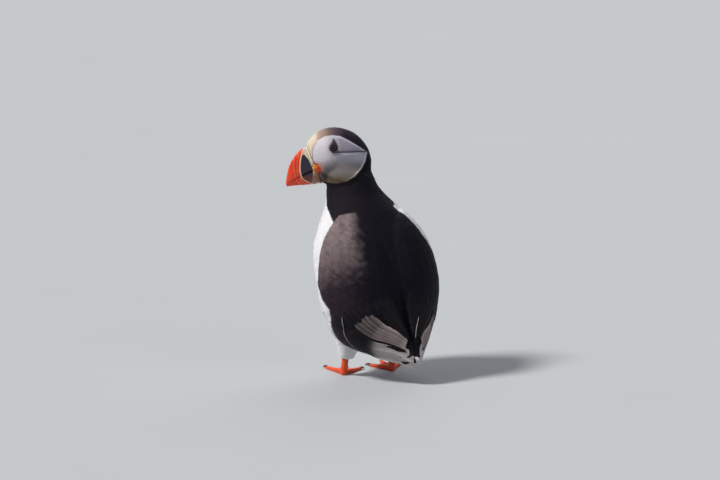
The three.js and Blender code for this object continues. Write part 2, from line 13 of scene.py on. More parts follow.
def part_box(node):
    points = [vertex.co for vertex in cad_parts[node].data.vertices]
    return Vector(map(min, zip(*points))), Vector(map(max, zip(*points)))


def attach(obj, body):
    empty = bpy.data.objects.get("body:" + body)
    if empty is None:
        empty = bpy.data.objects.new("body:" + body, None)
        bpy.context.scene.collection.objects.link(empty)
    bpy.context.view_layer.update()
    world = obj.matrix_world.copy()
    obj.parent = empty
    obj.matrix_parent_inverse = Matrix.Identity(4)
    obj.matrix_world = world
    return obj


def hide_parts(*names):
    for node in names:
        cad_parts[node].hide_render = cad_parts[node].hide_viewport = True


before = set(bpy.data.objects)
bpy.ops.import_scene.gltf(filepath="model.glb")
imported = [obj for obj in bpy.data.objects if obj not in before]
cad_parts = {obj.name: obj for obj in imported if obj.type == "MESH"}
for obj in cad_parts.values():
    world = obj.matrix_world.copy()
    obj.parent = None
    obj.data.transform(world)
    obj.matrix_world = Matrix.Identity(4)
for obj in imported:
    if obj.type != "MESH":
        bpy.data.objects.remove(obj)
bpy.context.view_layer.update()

# ---- driving sizes (millimetres unless said) ---------------------------------------------------

MM = 0.001
SEED = 20
SIDES = {"left": 1, "right": -1}
TOES = ("inner", "middle", "outer")

# The solids' own stations, measured from between the heels, from the top of the neck to the rump:
# [centre x, y, z, half width, depth to the front, depth to the back, tilt in degrees]
BODY_STATIONS = np.array([
    [12.8, -43, 210, 19.8, 18, 18.5, 4],
    [10.8, -39, 198, 24.2, 22, 23.5, 10],
    [10, -35, 186, 25.6, 26, 25.5, 14],
    [7, -29, 172, 33, 32, 28, 17],
    [4, -24, 155, 45, 41, 36, 20],
    [3, -17, 133, 56, 49, 43, 22],
    [2, -6, 107, 60, 53, 47, 25],
    [1.6, 6, 81, 59, 53, 47, 32],
    [2.5, 20, 59, 56.5, 47, 40, 42],
    [2.5, 38, 46, 43.5, 31, 27, 53],
    [0, 54, 39, 23, 19, 16, 61],
    [0, 66, 35, 10, 7, 8, 66],
])
WING_END_STATIONS = np.array([
    [1.8, 19, 59, 52, 39, 43, 42],
    [1.5, 35, 46, 40.5, 27, 35, 51],
    [0, 50, 36, 28, 20, 27, 58],
    [0, 64, 28, 18, 13, 18, 63],
    [0, 76, 21, 11, 8, 10, 66],
])
WING_LOWER_EDGE = np.array([[3.9, 126], [4.4, 114], [5, 104], [5.6, 95], [6.2, 84], [7, 71],
                            [8, 58], [9, 52], [10, 57], [11, 76], [11.9, 110]])
WING_UPPER_EDGE = np.array([[3.9, 136], [4.4, 156], [5, 168], [6, 173], [9, 172], [11, 166],
                            [11.9, 150]])
WING_THICKNESS = 7.5
WING_EDGE = 1.2
WING_ROOT_ROW = 3.9
WING_TIP_ROW = 11.9
WING_CROSSING_ROW = 9.5
COVERT_ROW = 8.45                # beyond it the coverts and quills lie bare on the wing
WING_CROSSING = {1: 9, -1: 0}    # the left wing's tip lies across the tail

HEAD_STATION = np.array([18, -49, 216])
HEAD_TURN = math.radians(68)
HEAD_PITCH = math.radians(14)
EYE_FORWARD = 3.6
EYE_UP = 13.2

HARD_PARTS = ("eye_", "rosette_", "cere", "bill_")
HARD_CLEARANCE = 0.45            # feathers end this far short of the hard parts
FLESH = ("head", "neck", "trunk", "wing_left", "wing_right", "shank_left", "shank_right")
QUILL_CORES = ("primaries_left", "primaries_right")
ZONES = {name: number for number, name in enumerate(FLESH + QUILL_CORES)}
HEAD_ZONE, NECK_ZONE, TRUNK_ZONE = ZONES["head"], ZONES["neck"], ZONES["trunk"]
WING_ZONES = (ZONES["wing_left"], ZONES["wing_right"])
SHANK_ZONES = (ZONES["shank_left"], ZONES["shank_right"])
QUILL_ZONES = (ZONES["primaries_left"], ZONES["primaries_right"])

SKIN_VOXEL = 1.2
SKIN_SWELL = 0.35                # closes the cuts between the solids before they are joined
SKIN_SMOOTHING = 16
NAPE_SMOOTHING = 90
COAT_DEPTH = {"head": 0.6, "neck": 0.85, "body": 1.0, "shank": 0.8, "quills": 2.0}

CAMERA_AZIMUTH = 152
CAMERA_ELEVATION = 11
CAMERA_DISTANCE = 6.0            # metres
VIEW_WIDTH = 0.7344              # metres across the picture at the bird
VIEW_TARGET = (0.0024, -0.0303, 0.1318)
FLOOR_HALF = 14.0                # metres
WORLD_COLOUR = (0.83, 0.87, 0.93, 1)
WORLD_STRENGTH = 0.22
# Lights: name, azimuth, elevation and width in degrees, strength, colour
LIGHTS = (("key", 70, 50, 12, 3.5, (1.0, 0.965, 0.92)),
          ("fill", 205, 32, 50, 0.45, (0.9, 0.95, 1.0)),
          ("rim", 320, 38, 40, 0.8, (1.0, 1.0, 1.0)))

# ---- small numeric helpers ---------------------------------------------------------------------


def rgb(red, green, blue):
    """Scene-linear colour of an sRGB colour given in 0 to 255."""
    share = np.array([red, green, blue]) / 255
    return np.where(share <= 0.04045, share / 12.92, ((share + 0.055) / 1.055) ** 2.4)


def step(start, end, value):
    """0 at start, 1 at end and a smooth ramp between; start may be above end."""
    share = np.clip((value - start) / (end - start), 0, 1)
    return share * share * (3 - 2 * share)


def unit(vectors):
    return vectors / np.maximum(np.linalg.norm(vectors, axis=-1, keepdims=True), 1e-12)


def dot(a, b):
    return np.sum(a * b, axis=-1)


def blend(a, b, share):
    """Colours a turned into b by share, one share per row; either may be a single colour."""
    return a + (b - a) * np.asarray(share)[..., None]


def ripple(points, wavelength, seed):
    """Smooth seeded noise in about -1 to 1, wavelength in the points' unit."""
    rng = np.random.default_rng(seed)
    waves = unit(rng.normal(size=(10, 3))) * rng.uniform(0.6, 1.6, (10, 1)) * 2 * np.pi / wavelength
    phases = rng.uniform(0, 2 * np.pi, 10)
    return np.sin(points @ waves.T + phases).mean(axis=1) * 2.2


def rows_at(rows, place):
    """Rows of a table read at fractional positions, on a Catmull-Rom curve."""
    place = np.clip(place, 0, len(rows) - 1.000001)
    low = np.floor(place).astype(int)
    s = (place - low)[..., None]
    a, b, c, d = (rows[np.clip(low + k, 0, len(rows) - 1)] for k in (-1, 0, 1, 2))
    return 0.5 * (2 * b + (c - a) * s + (2 * a - 5 * b + 4 * c - d) * s ** 2
                  + (3 * b - a - 3 * c + d) * s ** 3)


def to_polyline(points, line):
    """Distance of 2-D points from a line of straight pieces."""
    best = np.full(len(points), 1e9)
    for a, b in zip(line[:-1], line[1:]):
        along = b - a
        share = np.clip(((points - a) @ along) / (along @ along), 0, 1)
        best = np.minimum(best, np.linalg.norm(points - a - share[:, None] * along, axis=1))
    return best


def depth_inside(points, outline):
    """Distance of 2-D points inside a closed outline, negative outside it."""
    inside = np.zeros(len(points), bool)
    for (ax, ay), (bx, by) in zip(outline, np.roll(outline, -1, axis=0)):
        spans = (ay > points[:, 1]) != (by > points[:, 1])
        cross = ax + (points[:, 1] - ay) * (bx - ax) / (by - ay if by != ay else 1e-9)
        inside ^= spans & (points[:, 0] < cross)
    distance = to_polyline(points, np.vstack([outline, outline[:1]]))
    return np.where(inside, distance, -distance)


# ---- the bird's own coordinates ----------------------------------------------------------------


def box_middle(node):
    low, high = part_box(node)
    return np.array((low + high) / 2) / MM


HEAD_FORWARD = np.array([math.cos(HEAD_PITCH) * math.sin(HEAD_TURN),
                         -math.cos(HEAD_PITCH) * math.cos(HEAD_TURN), -math.sin(HEAD_PITCH)])
HEAD_LEFT = np.array([math.cos(HEAD_TURN), math.sin(HEAD_TURN), 0.0])
HEAD_UP = np.cross(HEAD_FORWARD, HEAD_LEFT)
HEAD_CENTRE = ((box_middle("eye_left") + box_middle("eye_right")) / 2
               - EYE_FORWARD * HEAD_FORWARD - EYE_UP * HEAD_UP)
FROM_HEELS = np.append(HEAD_CENTRE - HEAD_STATION, np.zeros(4))
BODY_ROWS = BODY_STATIONS + FROM_HEELS
WING_ROWS = np.vstack([BODY_STATIONS[:8], WING_END_STATIONS]) + FROM_HEELS


def eye_radius(side):
    low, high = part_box(f"eye_{side}")
    return (high - low).z / 2 / MM


def on_head(points):
    """(forward, up, out) of points in the head's own axes; out is the distance from the middle."""
    away = points - HEAD_CENTRE
    return away @ HEAD_FORWARD, away @ HEAD_UP, np.abs(away @ HEAD_LEFT)


def side_view(points):
    """(ahead, up) on the head as each side shows it, and the distance out from the middle."""
    away = points - HEAD_CENTRE
    ahead = away @ np.array([math.sin(HEAD_TURN), -math.cos(HEAD_TURN), 0])
    out = np.abs(away @ HEAD_LEFT)
    return np.stack([0.995 * ahead - 0.105 * out, 0.98 * away[:, 2] - 0.19 * out], axis=1), out


SCAN_ROWS = np.arange(-1.0, 11.0, 0.05)
SCAN_BATCH = 4000                # points placed at a time, to save memory


def body_frames(place):
    """Row values with each row's axes: towards the front and along the body."""
    rows = rows_at(BODY_ROWS, place)
    tilt = np.radians(rows[..., 6])
    none = np.zeros_like(tilt)
    to_front = np.stack([none, -np.cos(tilt), -np.sin(tilt)], axis=-1)
    along = np.stack([none, np.sin(tilt), -np.cos(tilt)], axis=-1)
    return rows, to_front, along


def body_place(points):
    """(row, angle) of points on the body: angle 0 at the breast, 90 at a side, 180 at the back."""
    rows, _, along = body_frames(SCAN_ROWS)
    place = np.empty(len(points))
    for start in range(0, len(points), SCAN_BATCH):
        some = points[start:start + SCAN_BATCH]
        away = some[:, None, :] - rows[None, :, :3]
        ahead = dot(away, along[None])
        cost = np.abs(ahead) + 0.05 * np.linalg.norm(away, axis=2)
        place[start:start + SCAN_BATCH] = SCAN_ROWS[np.argmin(cost, axis=1)]
    rows, to_front, _ = body_frames(place)
    away = points - rows[:, :3]
    front = dot(away, to_front)
    depth = np.where(front > 0, rows[:, 4], rows[:, 5])
    angle = np.degrees(np.arctan2(np.abs(away[:, 0]) / rows[:, 3], front / depth))
    return place, angle


def is_right(points, place):
    """Which points lie on the bird's right side, given their rows."""
    return points[:, 0] < rows_at(BODY_ROWS, place)[:, 0]


def wing_point(side, row, across, height=0.0):
    """Place on a folded wing: across is 0 at its lower edge and 1 at its upper edge."""
    low = np.interp(row, *WING_LOWER_EDGE.T)
    high = np.interp(row, *WING_UPPER_EDGE.T)
    angle = np.radians(low + (high - low) * across)
    rows = rows_at(WING_ROWS, row)
    bulge = np.sqrt(np.sin(np.pi * np.clip(across, 0, 1)))
    root = step(WING_ROOT_ROW - 0.5, WING_ROOT_ROW + 1.5, row)
    tip = 1 - 0.75 * step(7, WING_TIP_ROW, row)
    grow = WING_EDGE + (WING_THICKNESS - WING_EDGE) * bulge * root * tip + height
    tilt = np.radians(rows[..., 6])
    to_front = np.stack([np.zeros_like(tilt), -np.cos(tilt), -np.sin(tilt)], axis=-1)
    depth = np.where(np.cos(angle) > 0, rows[..., 4], rows[..., 5]) + grow
    point = rows[..., :3] + to_front * (depth * np.cos(angle))[..., None]
    crossing = WING_CROSSING[side] * step(WING_CROSSING_ROW, WING_TIP_ROW, row)
    point[..., 0] += side * ((rows[..., 3] + grow) * np.sin(angle) - crossing)
    return point


# ---- meshes ------------------------------------------------------------------------------------


def mesh_points(mesh):
    flat = np.empty(len(mesh.vertices) * 3)
    mesh.vertices.foreach_get("co", flat)
    return flat.reshape(-1, 3) / MM


def set_points(mesh, points):
    mesh.vertices.foreach_set("co", (points * MM).ravel())
    mesh.update()


def mesh_normals(mesh):
    flat = np.empty(len(mesh.vertices) * 3)
    mesh.vertices.foreach_get("normal", flat)
    return flat.reshape(-1, 3)


def mesh_triangles(mesh):
    mesh.calc_loop_triangles()
    flat = np.empty(len(mesh.loop_triangles) * 3, np.int32)
    mesh.loop_triangles.foreach_get("vertices", flat)
    return flat.reshape(-1, 3)


def tree_of(mesh):
    return BVHTree.FromPolygons(mesh_points(mesh).tolist(), mesh_triangles(mesh).tolist())


def add_float(mesh, name, values):
    layer = mesh.attributes.new(name, "FLOAT", "POINT")
    layer.data.foreach_set("value", np.asarray(values, np.float32))


def add_tint(mesh, colours):
    """Stores linear colours, one per vertex or one for all, as what the materials read."""
    layer = mesh.attributes.new("tint", "FLOAT_COLOR", "POINT")
    whole = np.ones((len(mesh.vertices), 4), np.float32)
    whole[:, :3] = colours
    layer.data.foreach_set("color", whole.ravel())


def add_object(name, mesh):
    piece = bpy.data.objects.new(name, mesh)
    bpy.context.scene.collection.objects.link(piece)
    return piece


def evaluated(piece):
    """The piece's mesh with its modifiers applied; the modifiers are gone afterwards."""
    graph = bpy.context.evaluated_depsgraph_get()
    mesh = bpy.data.meshes.new_from_object(piece.evaluated_get(graph))
    piece.modifiers.clear()
    piece.data = mesh
    return mesh


def node_copy(nodes, swell=0.0):
    """The named CAD nodes as one mesh, its points welded and pushed out by swell."""
    whole = bmesh.new()
    for node in nodes:
        part = bmesh.new()
        part.from_mesh(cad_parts[node].data)
        bmesh.ops.remove_doubles(part, verts=part.verts, dist=1e-6)
        part.normal_update()
        for vertex in part.verts:
            vertex.co += vertex.normal * swell * MM
        mesh = bpy.data.meshes.new(node + "_copy")
        part.to_mesh(mesh)
        part.free()
        whole.from_mesh(mesh)
        bpy.data.meshes.remove(mesh)
    mesh = bpy.data.meshes.new(nodes[0] + "_whole")
    whole.to_mesh(mesh)
    whole.free()
    return mesh


def smooth_shell(name, nodes, voxel, swell, rounds):
    """One closed even mesh round the named nodes, smoothed by so many rounds."""
    piece = add_object(name, node_copy(nodes, swell))
    remesh = piece.modifiers.new("remesh", "REMESH")
    remesh.mode = "VOXEL"
    remesh.voxel_size = voxel * MM
    smooth = piece.modifiers.new("smooth", "SMOOTH")
    smooth.factor = 0.5
    smooth.iterations = rounds
    evaluated(piece).shade_smooth()
    return piece


def dressed_shell(name, nodes, voxel, swell, rounds, dress):
    """A smooth shell whose points and colours are what dress(points, normals) returns."""
    piece = smooth_shell(name, nodes, voxel, swell, rounds)
    points, tint = dress(mesh_points(piece.data), mesh_normals(piece.data))
    set_points(piece.data, points)
    add_tint(piece.data, tint)
    return piece


class Surface:
    """A closed mesh that points are laid on."""

    def __init__(self, mesh):
        self.points = mesh_points(mesh)
        self.normals = mesh_normals(mesh)
        self.triangles = mesh_triangles(mesh)
        self.tree = tree_of(mesh)

    def nearest(self, places):
        """Nearest places on the surface and the normals there."""
        found = [self.tree.find_nearest(place) for place in places.tolist()]
        spots = np.array([hit[0][:] for hit in found])
        corner = self.triangles[[hit[2] for hit in found], 0]
        return spots, self.normals[corner]

    def depth_below(self, limit):
        """How far the surface's far side is under each vertex, up to a limit."""
        starts = self.points - self.normals * 0.05
        hits = [self.tree.ray_cast(Vector(start), Vector(way), limit)[3]
                for start, way in zip(starts.tolist(), (-self.normals).tolist())]
        return np.array([limit if hit is None else hit for hit in hits])


# ---- markings ----------------------------------------------------------------------------------

WHITE = rgb(230, 230, 234)
BACK = rgb(21, 18, 27)
COLLAR = rgb(16, 12, 15)
# The wing's own worn brown, lightened by painted sunlight where the shoulder faces the light.
WING_SUNLIT = rgb(152, 134, 137)
WING_MIDDLE = rgb(44, 34, 40)
WING_HIND = rgb(22, 19, 28)
# Colour over the crown by how far ahead of the head's middle: [ahead, red, green, blue]; dark behind,
# and towards the bill the forehead's own worn brown lightened to beige by painted sunlight.
CROWN_SUNLIT = ((-16, 28, 23, 34), (-6.7, 36, 29, 42), (1.4, 74, 57, 74), (8.6, 112, 90, 90),
         (13.7, 152, 129, 118), (18.8, 172, 148, 136), (22.8, 198, 174, 158), (27, 236, 220, 202))
CREAM = rgb(226, 212, 190)
FACE_FRONT = rgb(228, 221, 229)
# Side, brow, lower face and chin: the face's own pale grey darkened by painted shade.
FACE_SIDE_SHADED = rgb(180, 177, 188)
FACE_BROW_SHADED = rgb(158, 151, 166)
FACE_LOW_SHADED = rgb(122, 115, 116)
FACE_CHIN_SHADED = rgb(96, 88, 76)
FACE_RIM = rgb(222, 220, 228)
GAPE_DARK_LINE = rgb(72, 58, 42)
# The crease's own dark line, deepened by painted shade in the furrow.
CREASE_LINE_AND_SHADE = rgb(58, 46, 60)
BRIDLE = rgb(138, 104, 98)
ROSETTE_GLOW = rgb(226, 112, 52)
DUSKY = rgb(120, 110, 104)
# Brownish specks painted as highlights on the black collar.
NECK_GLINT = rgb(104, 84, 78)

# The white face as each side shows it, ahead and up from the head's middle.
FACE_OUTLINE = np.array([
    [27.1, 5.6], [25.3, 12], [19.9, 17.4], [13.5, 20.6], [6.2, 21.5], [-2, 20.2], [-11.1, 15.6],
    [-18.4, 11.1], [-29.3, 4.2], [-27.5, -5.3], [-23.9, -12.5], [-16.5, -20.8], [-9.3, -25.3],
    [1.6, -27.5], [10.7, -26.2], [20, -24], [24, -18], [26.5, -8],
])
CREASE = np.array([[-0.5, 3.9], [-6, 3.9], [-13.9, 4.2], [-20, 4.6], [-28.2, 4.3]])
# A dark olive-brown line running back and down from the gape, ahead and up from the head's middle.
GAPE_LINE = np.array([[20, -14], [14, -19.5], [4, -24.5], [-4, -26]])
# Row down to which the black collar reaches, by angle round the body.
COLLAR_END = np.array([[0, 2.15], [40, 2.2], [60, 2.25], [70, 2.5], [84, 3.05], [100, 3.5],
                       [113, 4.0], [118, 4.25], [122, 5.0], [127, 7.0], [132, 12.0]])
# Angle round the body down to which the folded wing's dark plumage reaches, by row.
DARK_EDGE = np.array([[3.9, 126], [4.4, 114], [5, 104], [5.6, 95], [6.2, 88], [7, 92],
                      [7.5, 98], [7.8, 90], [8.0, 76], [8.2, 63], [8.5, 53], [8.8, 45],
                      [9.6, 40], [10.5, 50]])
# Angle back to which the right flank's white reaches over the bend of the wing, by row.
RIGHT_FLANK = np.array([[2.1, -20], [2.3, 60], [2.6, 73], [3.1, 86], [3.4, 128], [3.7, 145],
                        [4.2, 144], [4.9, 141], [5.3, 138], [5.7, 128], [6.2, 100], [6.6, 84],
                        [7, -20]])
RIGHT_SHADE_TURN = 24                  # degrees further round that the right wing's painted sunlit brown begins: the right wing is painted more in shade
BREAST_ANGLE = 62                # degrees round the body at which the breast becomes the flank
PALE_FROM = 0.12                 # feathers brighter than this take the white plumage


def box_side_view(node):
    return side_view(box_middle(node)[None])[0]


def crown_colour(ahead):
    stops = np.array([row[0] for row in CROWN_SUNLIT])
    tones = np.array([rgb(*row[1:]) for row in CROWN_SUNLIT])
    return np.stack([np.interp(ahead, stops, tone) for tone in tones.T], axis=1)


def face_colour(ahead, up, inside, seen):
    """The pale face: brightest in front; greyer behind, on the brow, below and at the chin, its own
    pale grey darkened by painted shade; creased and rimmed.
    """
    face = blend(FACE_FRONT, FACE_SIDE_SHADED, step(17, 2, ahead))
    face = blend(face, FACE_LOW_SHADED, step(0, -14, up) * step(24, 12, ahead))
    face = blend(face, FACE_CHIN_SHADED, step(-13, -24, up))
    face = blend(face, FACE_BROW_SHADED, step(4.2, 5.2, up) * step(1.5, -2.5, ahead))
    face = blend(face, FACE_RIM, 0.7 * step(2.0, 0.8, inside) * step(12, 0, ahead) * step(-26, -14, up))
    face = blend(face, GAPE_DARK_LINE, 0.8 * step(3.6, 0.6, to_polyline(seen, GAPE_LINE)))
    face = blend(face, BRIDLE, 0.7 * step(1.6, 0.4, inside) * step(21, 24, ahead))
    from_rosette = np.linalg.norm(seen - box_side_view("rosette_left"), axis=1)
    face = blend(face, ROSETTE_GLOW, 0.5 * step(7.8, 5, from_rosette))
    # The crease: its own dark line, deepened by painted shade along the furrow.
    return blend(face, CREASE_LINE_AND_SHADE, 0.9 * step(1.1, 0.35, to_polyline(seen, CREASE)))


def head_colour(points):
    """Markings of the head, ahead of the neck."""
    seen, out = side_view(points)
    ahead, up = seen.T
    inside = depth_inside(seen, FACE_OUTLINE)
    throat = (out - 5.0 - 0.25 * np.maximum(up + 27, 0)) * 1.2
    inside = np.minimum(inside, throat + 100 * (up > -16))
    # The crown: dark, turning beige towards the bill with painted sunlight.
    cap = crown_colour(ahead - 0.35 * np.clip(-inside - 3, 0, 14))
    cap = blend(cap, COLLAR, step(4, -8, up) * step(22, 12, ahead))
    cap = blend(cap, CREAM, step(20, 25, ahead) * step(0, 6, up))
    return blend(cap, face_colour(ahead, up, inside, seen), step(-0.35, 0.35, inside))


def body_colour(points, zones):
    """Markings of the neck, trunk, wings and thighs."""
    place, angle = body_place(points)
    right = is_right(points, place)
    ragged = 0.8 * ripple(points, 9, SEED + 3)
    collar_end = np.interp(angle + ragged, *COLLAR_END.T)
    white = step(collar_end - 0.04, collar_end + 0.04, place)
    flank = right * step(0, 2.5, np.interp(place, *RIGHT_FLANK.T) - angle + ragged)
    white = np.maximum(white, flank)
    white = white * (1 - step(8.4, 8.9, place) * step(78, 84, angle))
    dark = blend(COLLAR, BACK, step(60, 120, angle))
    # Brownish specks of painted highlight over the front and sides of the black collar.
    neck_glints = step(0.0, 0.9, ripple(points, 3.0, SEED)) * step(100, 60, angle) * step(0.6, 1.6, place)
    dark = blend(dark, NECK_GLINT, 0.25 * neck_glints)
    dusk = step(7.7, 8.5, place) * step(30, 50, angle) * step(0.3, -0.4, ripple(points, 30, SEED + 1))
    pale = blend(WHITE, DUSKY, 0.4 * dusk)
    colour = blend(dark, pale, white)
    # On the right wing the painted sunlit brown starts further round, leaving more of it in painted
    # shade.
    wing = blend(wing_colour(points, place, angle + RIGHT_SHADE_TURN * right), pale, flank)
    on_wing = step(-0.8, 0.8, angle - np.interp(place, *DARK_EDGE.T)) * (place > WING_ROOT_ROW)
    return blend(colour, wing, on_wing * (zones != NECK_ZONE))


def wing_colour(points, place, angle):
    """Folded wing: towards the breast its own worn brown, lightened by painted sunlight and flecked
    with painted glints; black towards the back.
    """
    mottle = 0.5 + 0.5 * ripple(points, 8, SEED + 2)
    glints = step(0.1, 1.0, ripple(points, 2.6, SEED + 4))
    # Painted sunlight over the shoulder, flecked with painted glints.
    sunlit = step(156, 141, angle + 6 * (mottle - 0.5)) * step(7.4, 5.3, place + 0.6 * mottle)
    middle = step(150, 125, angle) * (0.6 + 0.4 * mottle)
    tone = blend(WING_HIND, WING_MIDDLE, middle)
    return blend(tone, WING_SUNLIT, sunlit * (0.7 + 0.3 * glints) * (0.6 + 0.4 * mottle))


def plumage(points, zones):
    """Colour of the skin, and of the feather rooted there, at each point."""
    head = (zones == HEAD_ZONE)[:, None]
    return np.where(head, head_colour(points), body_colour(points, zones))


# ---- skin --------------------------------------------------------------------------------------


class ZoneFinder:
    """Tells which flesh node each point belongs to."""

    def __init__(self):
        self.trees = [tree_of(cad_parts[node].data) for node in ZONES]

    def reach(self, points, zone):
        """Distance of each point from the surface of one flesh node."""
        tree = self.trees[zone]
        return np.array([tree.find_nearest(point)[3] for point in points.tolist()])

    def __call__(self, points):
        zones = np.argmin([self.reach(points, zone) for zone in ZONES.values()], axis=0)
        seen, out = side_view(points)
        cheek = (depth_inside(seen, FACE_OUTLINE) > -3) & (out > 4)
        return np.where((zones == NECK_ZONE) & cheek, HEAD_ZONE, zones)


def coat_depth(zones):
    depth = np.full(len(zones), COAT_DEPTH["body"])
    depth[zones == HEAD_ZONE] = COAT_DEPTH["head"]
    depth[zones == NECK_ZONE] = COAT_DEPTH["neck"]
    depth[np.isin(zones, SHANK_ZONES)] = COAT_DEPTH["shank"]
    depth[np.isin(zones, QUILL_ZONES)] = COAT_DEPTH["quills"]
    return depth


def soften(values, triangles, rounds, share=1.0):
    """Averages values over each vertex's neighbours, some rounds over."""
    edges = np.vstack([triangles[:, [0, 1]], triangles[:, [1, 2]], triangles[:, [2, 0]]])
    start, end = np.vstack([edges, edges[:, ::-1]]).T
    count = np.bincount(start, minlength=len(values)) + 1e-9
    columns = values.reshape(len(values), -1).T.copy()
    for _ in range(rounds):
        means = [np.bincount(start, weights=column[end], minlength=len(values)) / count
                 for column in columns]
        columns += 0.5 * share * (np.array(means) - columns)
    return columns.T.reshape(values.shape)


def ease_nape(mesh, find_zone):
    """Smooths the fold where the back of the head meets the neck."""
    points = mesh_points(mesh)
    near = step(11, 4, find_zone.reach(points, HEAD_ZONE))
    near *= step(11, 4, find_zone.reach(points, NECK_ZONE))
    behind = step(4, -8, side_view(points)[0][:, 0])
    set_points(mesh, soften(points, mesh_triangles(mesh), NAPE_SMOOTHING, near * behind))


def make_skin(find_zone):
    """One skin under the coat, with the furrow behind each eye."""
    skin = smooth_shell("skin", FLESH + QUILL_CORES, SKIN_VOXEL, SKIN_SWELL, SKIN_SMOOTHING)
    ease_nape(skin.data, find_zone)
    outer = Surface(skin.data)
    zones = find_zone(outer.points)
    depth = soften(coat_depth(zones), outer.triangles, 12)
    depth = np.minimum(depth, 0.3 * outer.depth_below(12))
    depth = soften(depth, outer.triangles, 4) + furrow(outer.points, zones)
    set_points(skin.data, outer.points - outer.normals * depth[:, None])
    add_tint(skin.data, plumage(outer.points, zones))
    return skin


def furrow(points, zones):
    """Depth of the crease that runs back from each eye."""
    seen, out = side_view(points)
    near = to_polyline(seen, CREASE)
    return np.where((zones == HEAD_ZONE) & (out > 6), 0.9 * np.exp(-(near / 1.6) ** 2), 0)


# ---- contour feathers --------------------------------------------------------------------------

# How a vane widens along its shaft: share of the length, share of the half width.
CONTOUR_VANE = np.array([[0, 0.4], [0.22, 0.8], [0.5, 1.0], [0.74, 0.96], [0.9, 0.7], [0.97, 0.4]])
FACE_VANE = np.array([[0, 0.4], [0.4, 1.0], [0.75, 0.9], [0.93, 0.5]])
UV_PATCH = 0.003                 # side of a feather's patch on the bake map
TRIES_PER_ROOT = 4.5             # random spots drawn for each root wanted
EYE_SEEN = np.array([3.5, 8.5])  # the eye's place in the side view


def scatter(surface, chosen, gap_of, seed):
    """Seeded points on the chosen triangles, no two nearer than the gap wanted there."""
    rng = np.random.default_rng(seed)
    triangles = surface.triangles[chosen]
    a, b, c = (surface.points[triangles[:, k]] for k in range(3))
    area = np.linalg.norm(np.cross(b - a, c - a), axis=1) / 2
    gaps = gap_of((a + b + c) / 3)
    weight = area / gaps ** 2
    count = int(TRIES_PER_ROOT * weight.sum())
    pick = rng.choice(len(triangles), count, p=weight / weight.sum())
    r, s = rng.random((2, count))
    r, s = np.where(r + s > 1, 1 - r, r), np.where(r + s > 1, 1 - s, s)
    spots = a[pick] + (b - a)[pick] * r[:, None] + (c - a)[pick] * s[:, None]
    gaps = gaps[pick]
    tree = KDTree(count)
    for index, spot in enumerate(spots.tolist()):
        tree.insert(spot, index)
    tree.balance()
    alive = np.ones(count, bool)
    kept = []
    for index, spot in enumerate(spots.tolist()):
        if not alive[index]:
            continue
        kept.append(index)
        for _, other, _ in tree.find_range(spot, float(gaps[index])):
            alive[other] = False
    return spots[kept], surface.normals[triangles[pick[kept], 0]], gaps[kept]


def lie_of_coat(points, normals, zones):
    """The way the feathers point: back from the bill over the head, then down the body."""
    place, _ = body_place(points)
    _, _, along = body_frames(np.clip(place, 0, 11))
    bill = HEAD_CENTRE + HEAD_FORWARD * 40 - HEAD_UP * 4
    from_bill = unit(points - bill)
    headness = np.where(zones == HEAD_ZONE, 1.0, step(2.2, 0.6, place))
    behind = step(5, -28, on_head(points)[0]) * 0.8
    down = np.array([0, 0, -1.0])
    flow = along * (1 - headness * (1 - behind))[:, None] + from_bill * headness[:, None]
    shank = np.isin(zones, SHANK_ZONES)
    flow = np.where(shank[:, None], down, flow)
    flow = flow - normals * dot(flow, normals)[:, None]
    return unit(flow)


def shaft_lines(surface, roots, heading, length, stations):
    """Each feather's shaft laid over the surface: places, normals and side directions."""
    spots, normals = surface.nearest(roots)
    lines, ups, sides = [], [], []
    way, last = heading, 0.0
    for share in stations:
        if share > last:
            spots, normals = surface.nearest(spots + way * ((share - last) * length)[:, None])
            last = share
        way = unit(way - normals * dot(way, normals)[:, None])
        lines.append(spots)
        ups.append(normals)
        sides.append(np.cross(normals, way))
    return np.stack(lines, 1), np.stack(ups, 1), np.stack(sides, 1)


def vane_faces(rows):
    """Triangles of one closed vane of three columns: top, flat underside and root end."""
    faces = []
    for k in range(rows - 1):
        left, ridge, right = 3 * k, 3 * k + 1, 3 * k + 2
        faces += [(left, ridge, ridge + 3), (left, ridge + 3, left + 3)]
        faces += [(ridge, right, right + 3), (ridge, right + 3, ridge + 3)]
        faces += [(left, left + 3, right + 3), (left, right + 3, right)]
    tip, last = 3 * rows, 3 * rows - 3
    faces += [(last, last + 1, tip), (last + 1, last + 2, tip), (last + 2, last, tip)]
    faces += [(0, 2, 1)]
    return np.array(faces)


def grow_vanes(surface, feathers, vane):
    """Points and triangles of many vanes at once, with where each vertex is on its vane."""
    shares = np.append(vane[:, 0], 1.0)
    lines, ups, sides = shaft_lines(surface, feathers["root"], feathers["heading"],
                                    feathers["length"], shares)
    count, rows = len(lines), len(vane)
    half = feathers["width"][:, None] / 2 * vane[:, 1]
    rise = 1 - (1 - shares) ** 1.6
    height = feathers["sink"][:, None] + (feathers["lift"] - feathers["sink"])[:, None] * rise
    ridge = feathers["camber"][:, None] * np.append(0.5 + 0.5 * vane[:, 1], 0)
    points = np.empty((count, 3 * rows + 1, 3))
    base = lines + ups * height[..., None]
    for column, share in enumerate((-1, 0, 1)):
        across = base[:, :rows] + sides[:, :rows] * (share * half)[..., None]
        if share == 0:
            across = across + ups[:, :rows] * ridge[:, :rows, None]
        points[:, column:3 * rows:3] = across
    points[:, 3 * rows] = base[:, rows]
    template = vane_faces(rows)
    offsets = np.arange(count) * (3 * rows + 1)
    faces = (template[None] + offsets[:, None, None]).reshape(-1, 3)
    across = np.append(np.tile([-1.0, 0.0, 1.0], rows), 0.0)
    along = np.append(np.repeat(vane[:, 0], 3), 1.0)
    return points.reshape(-1, 3), faces, across, along


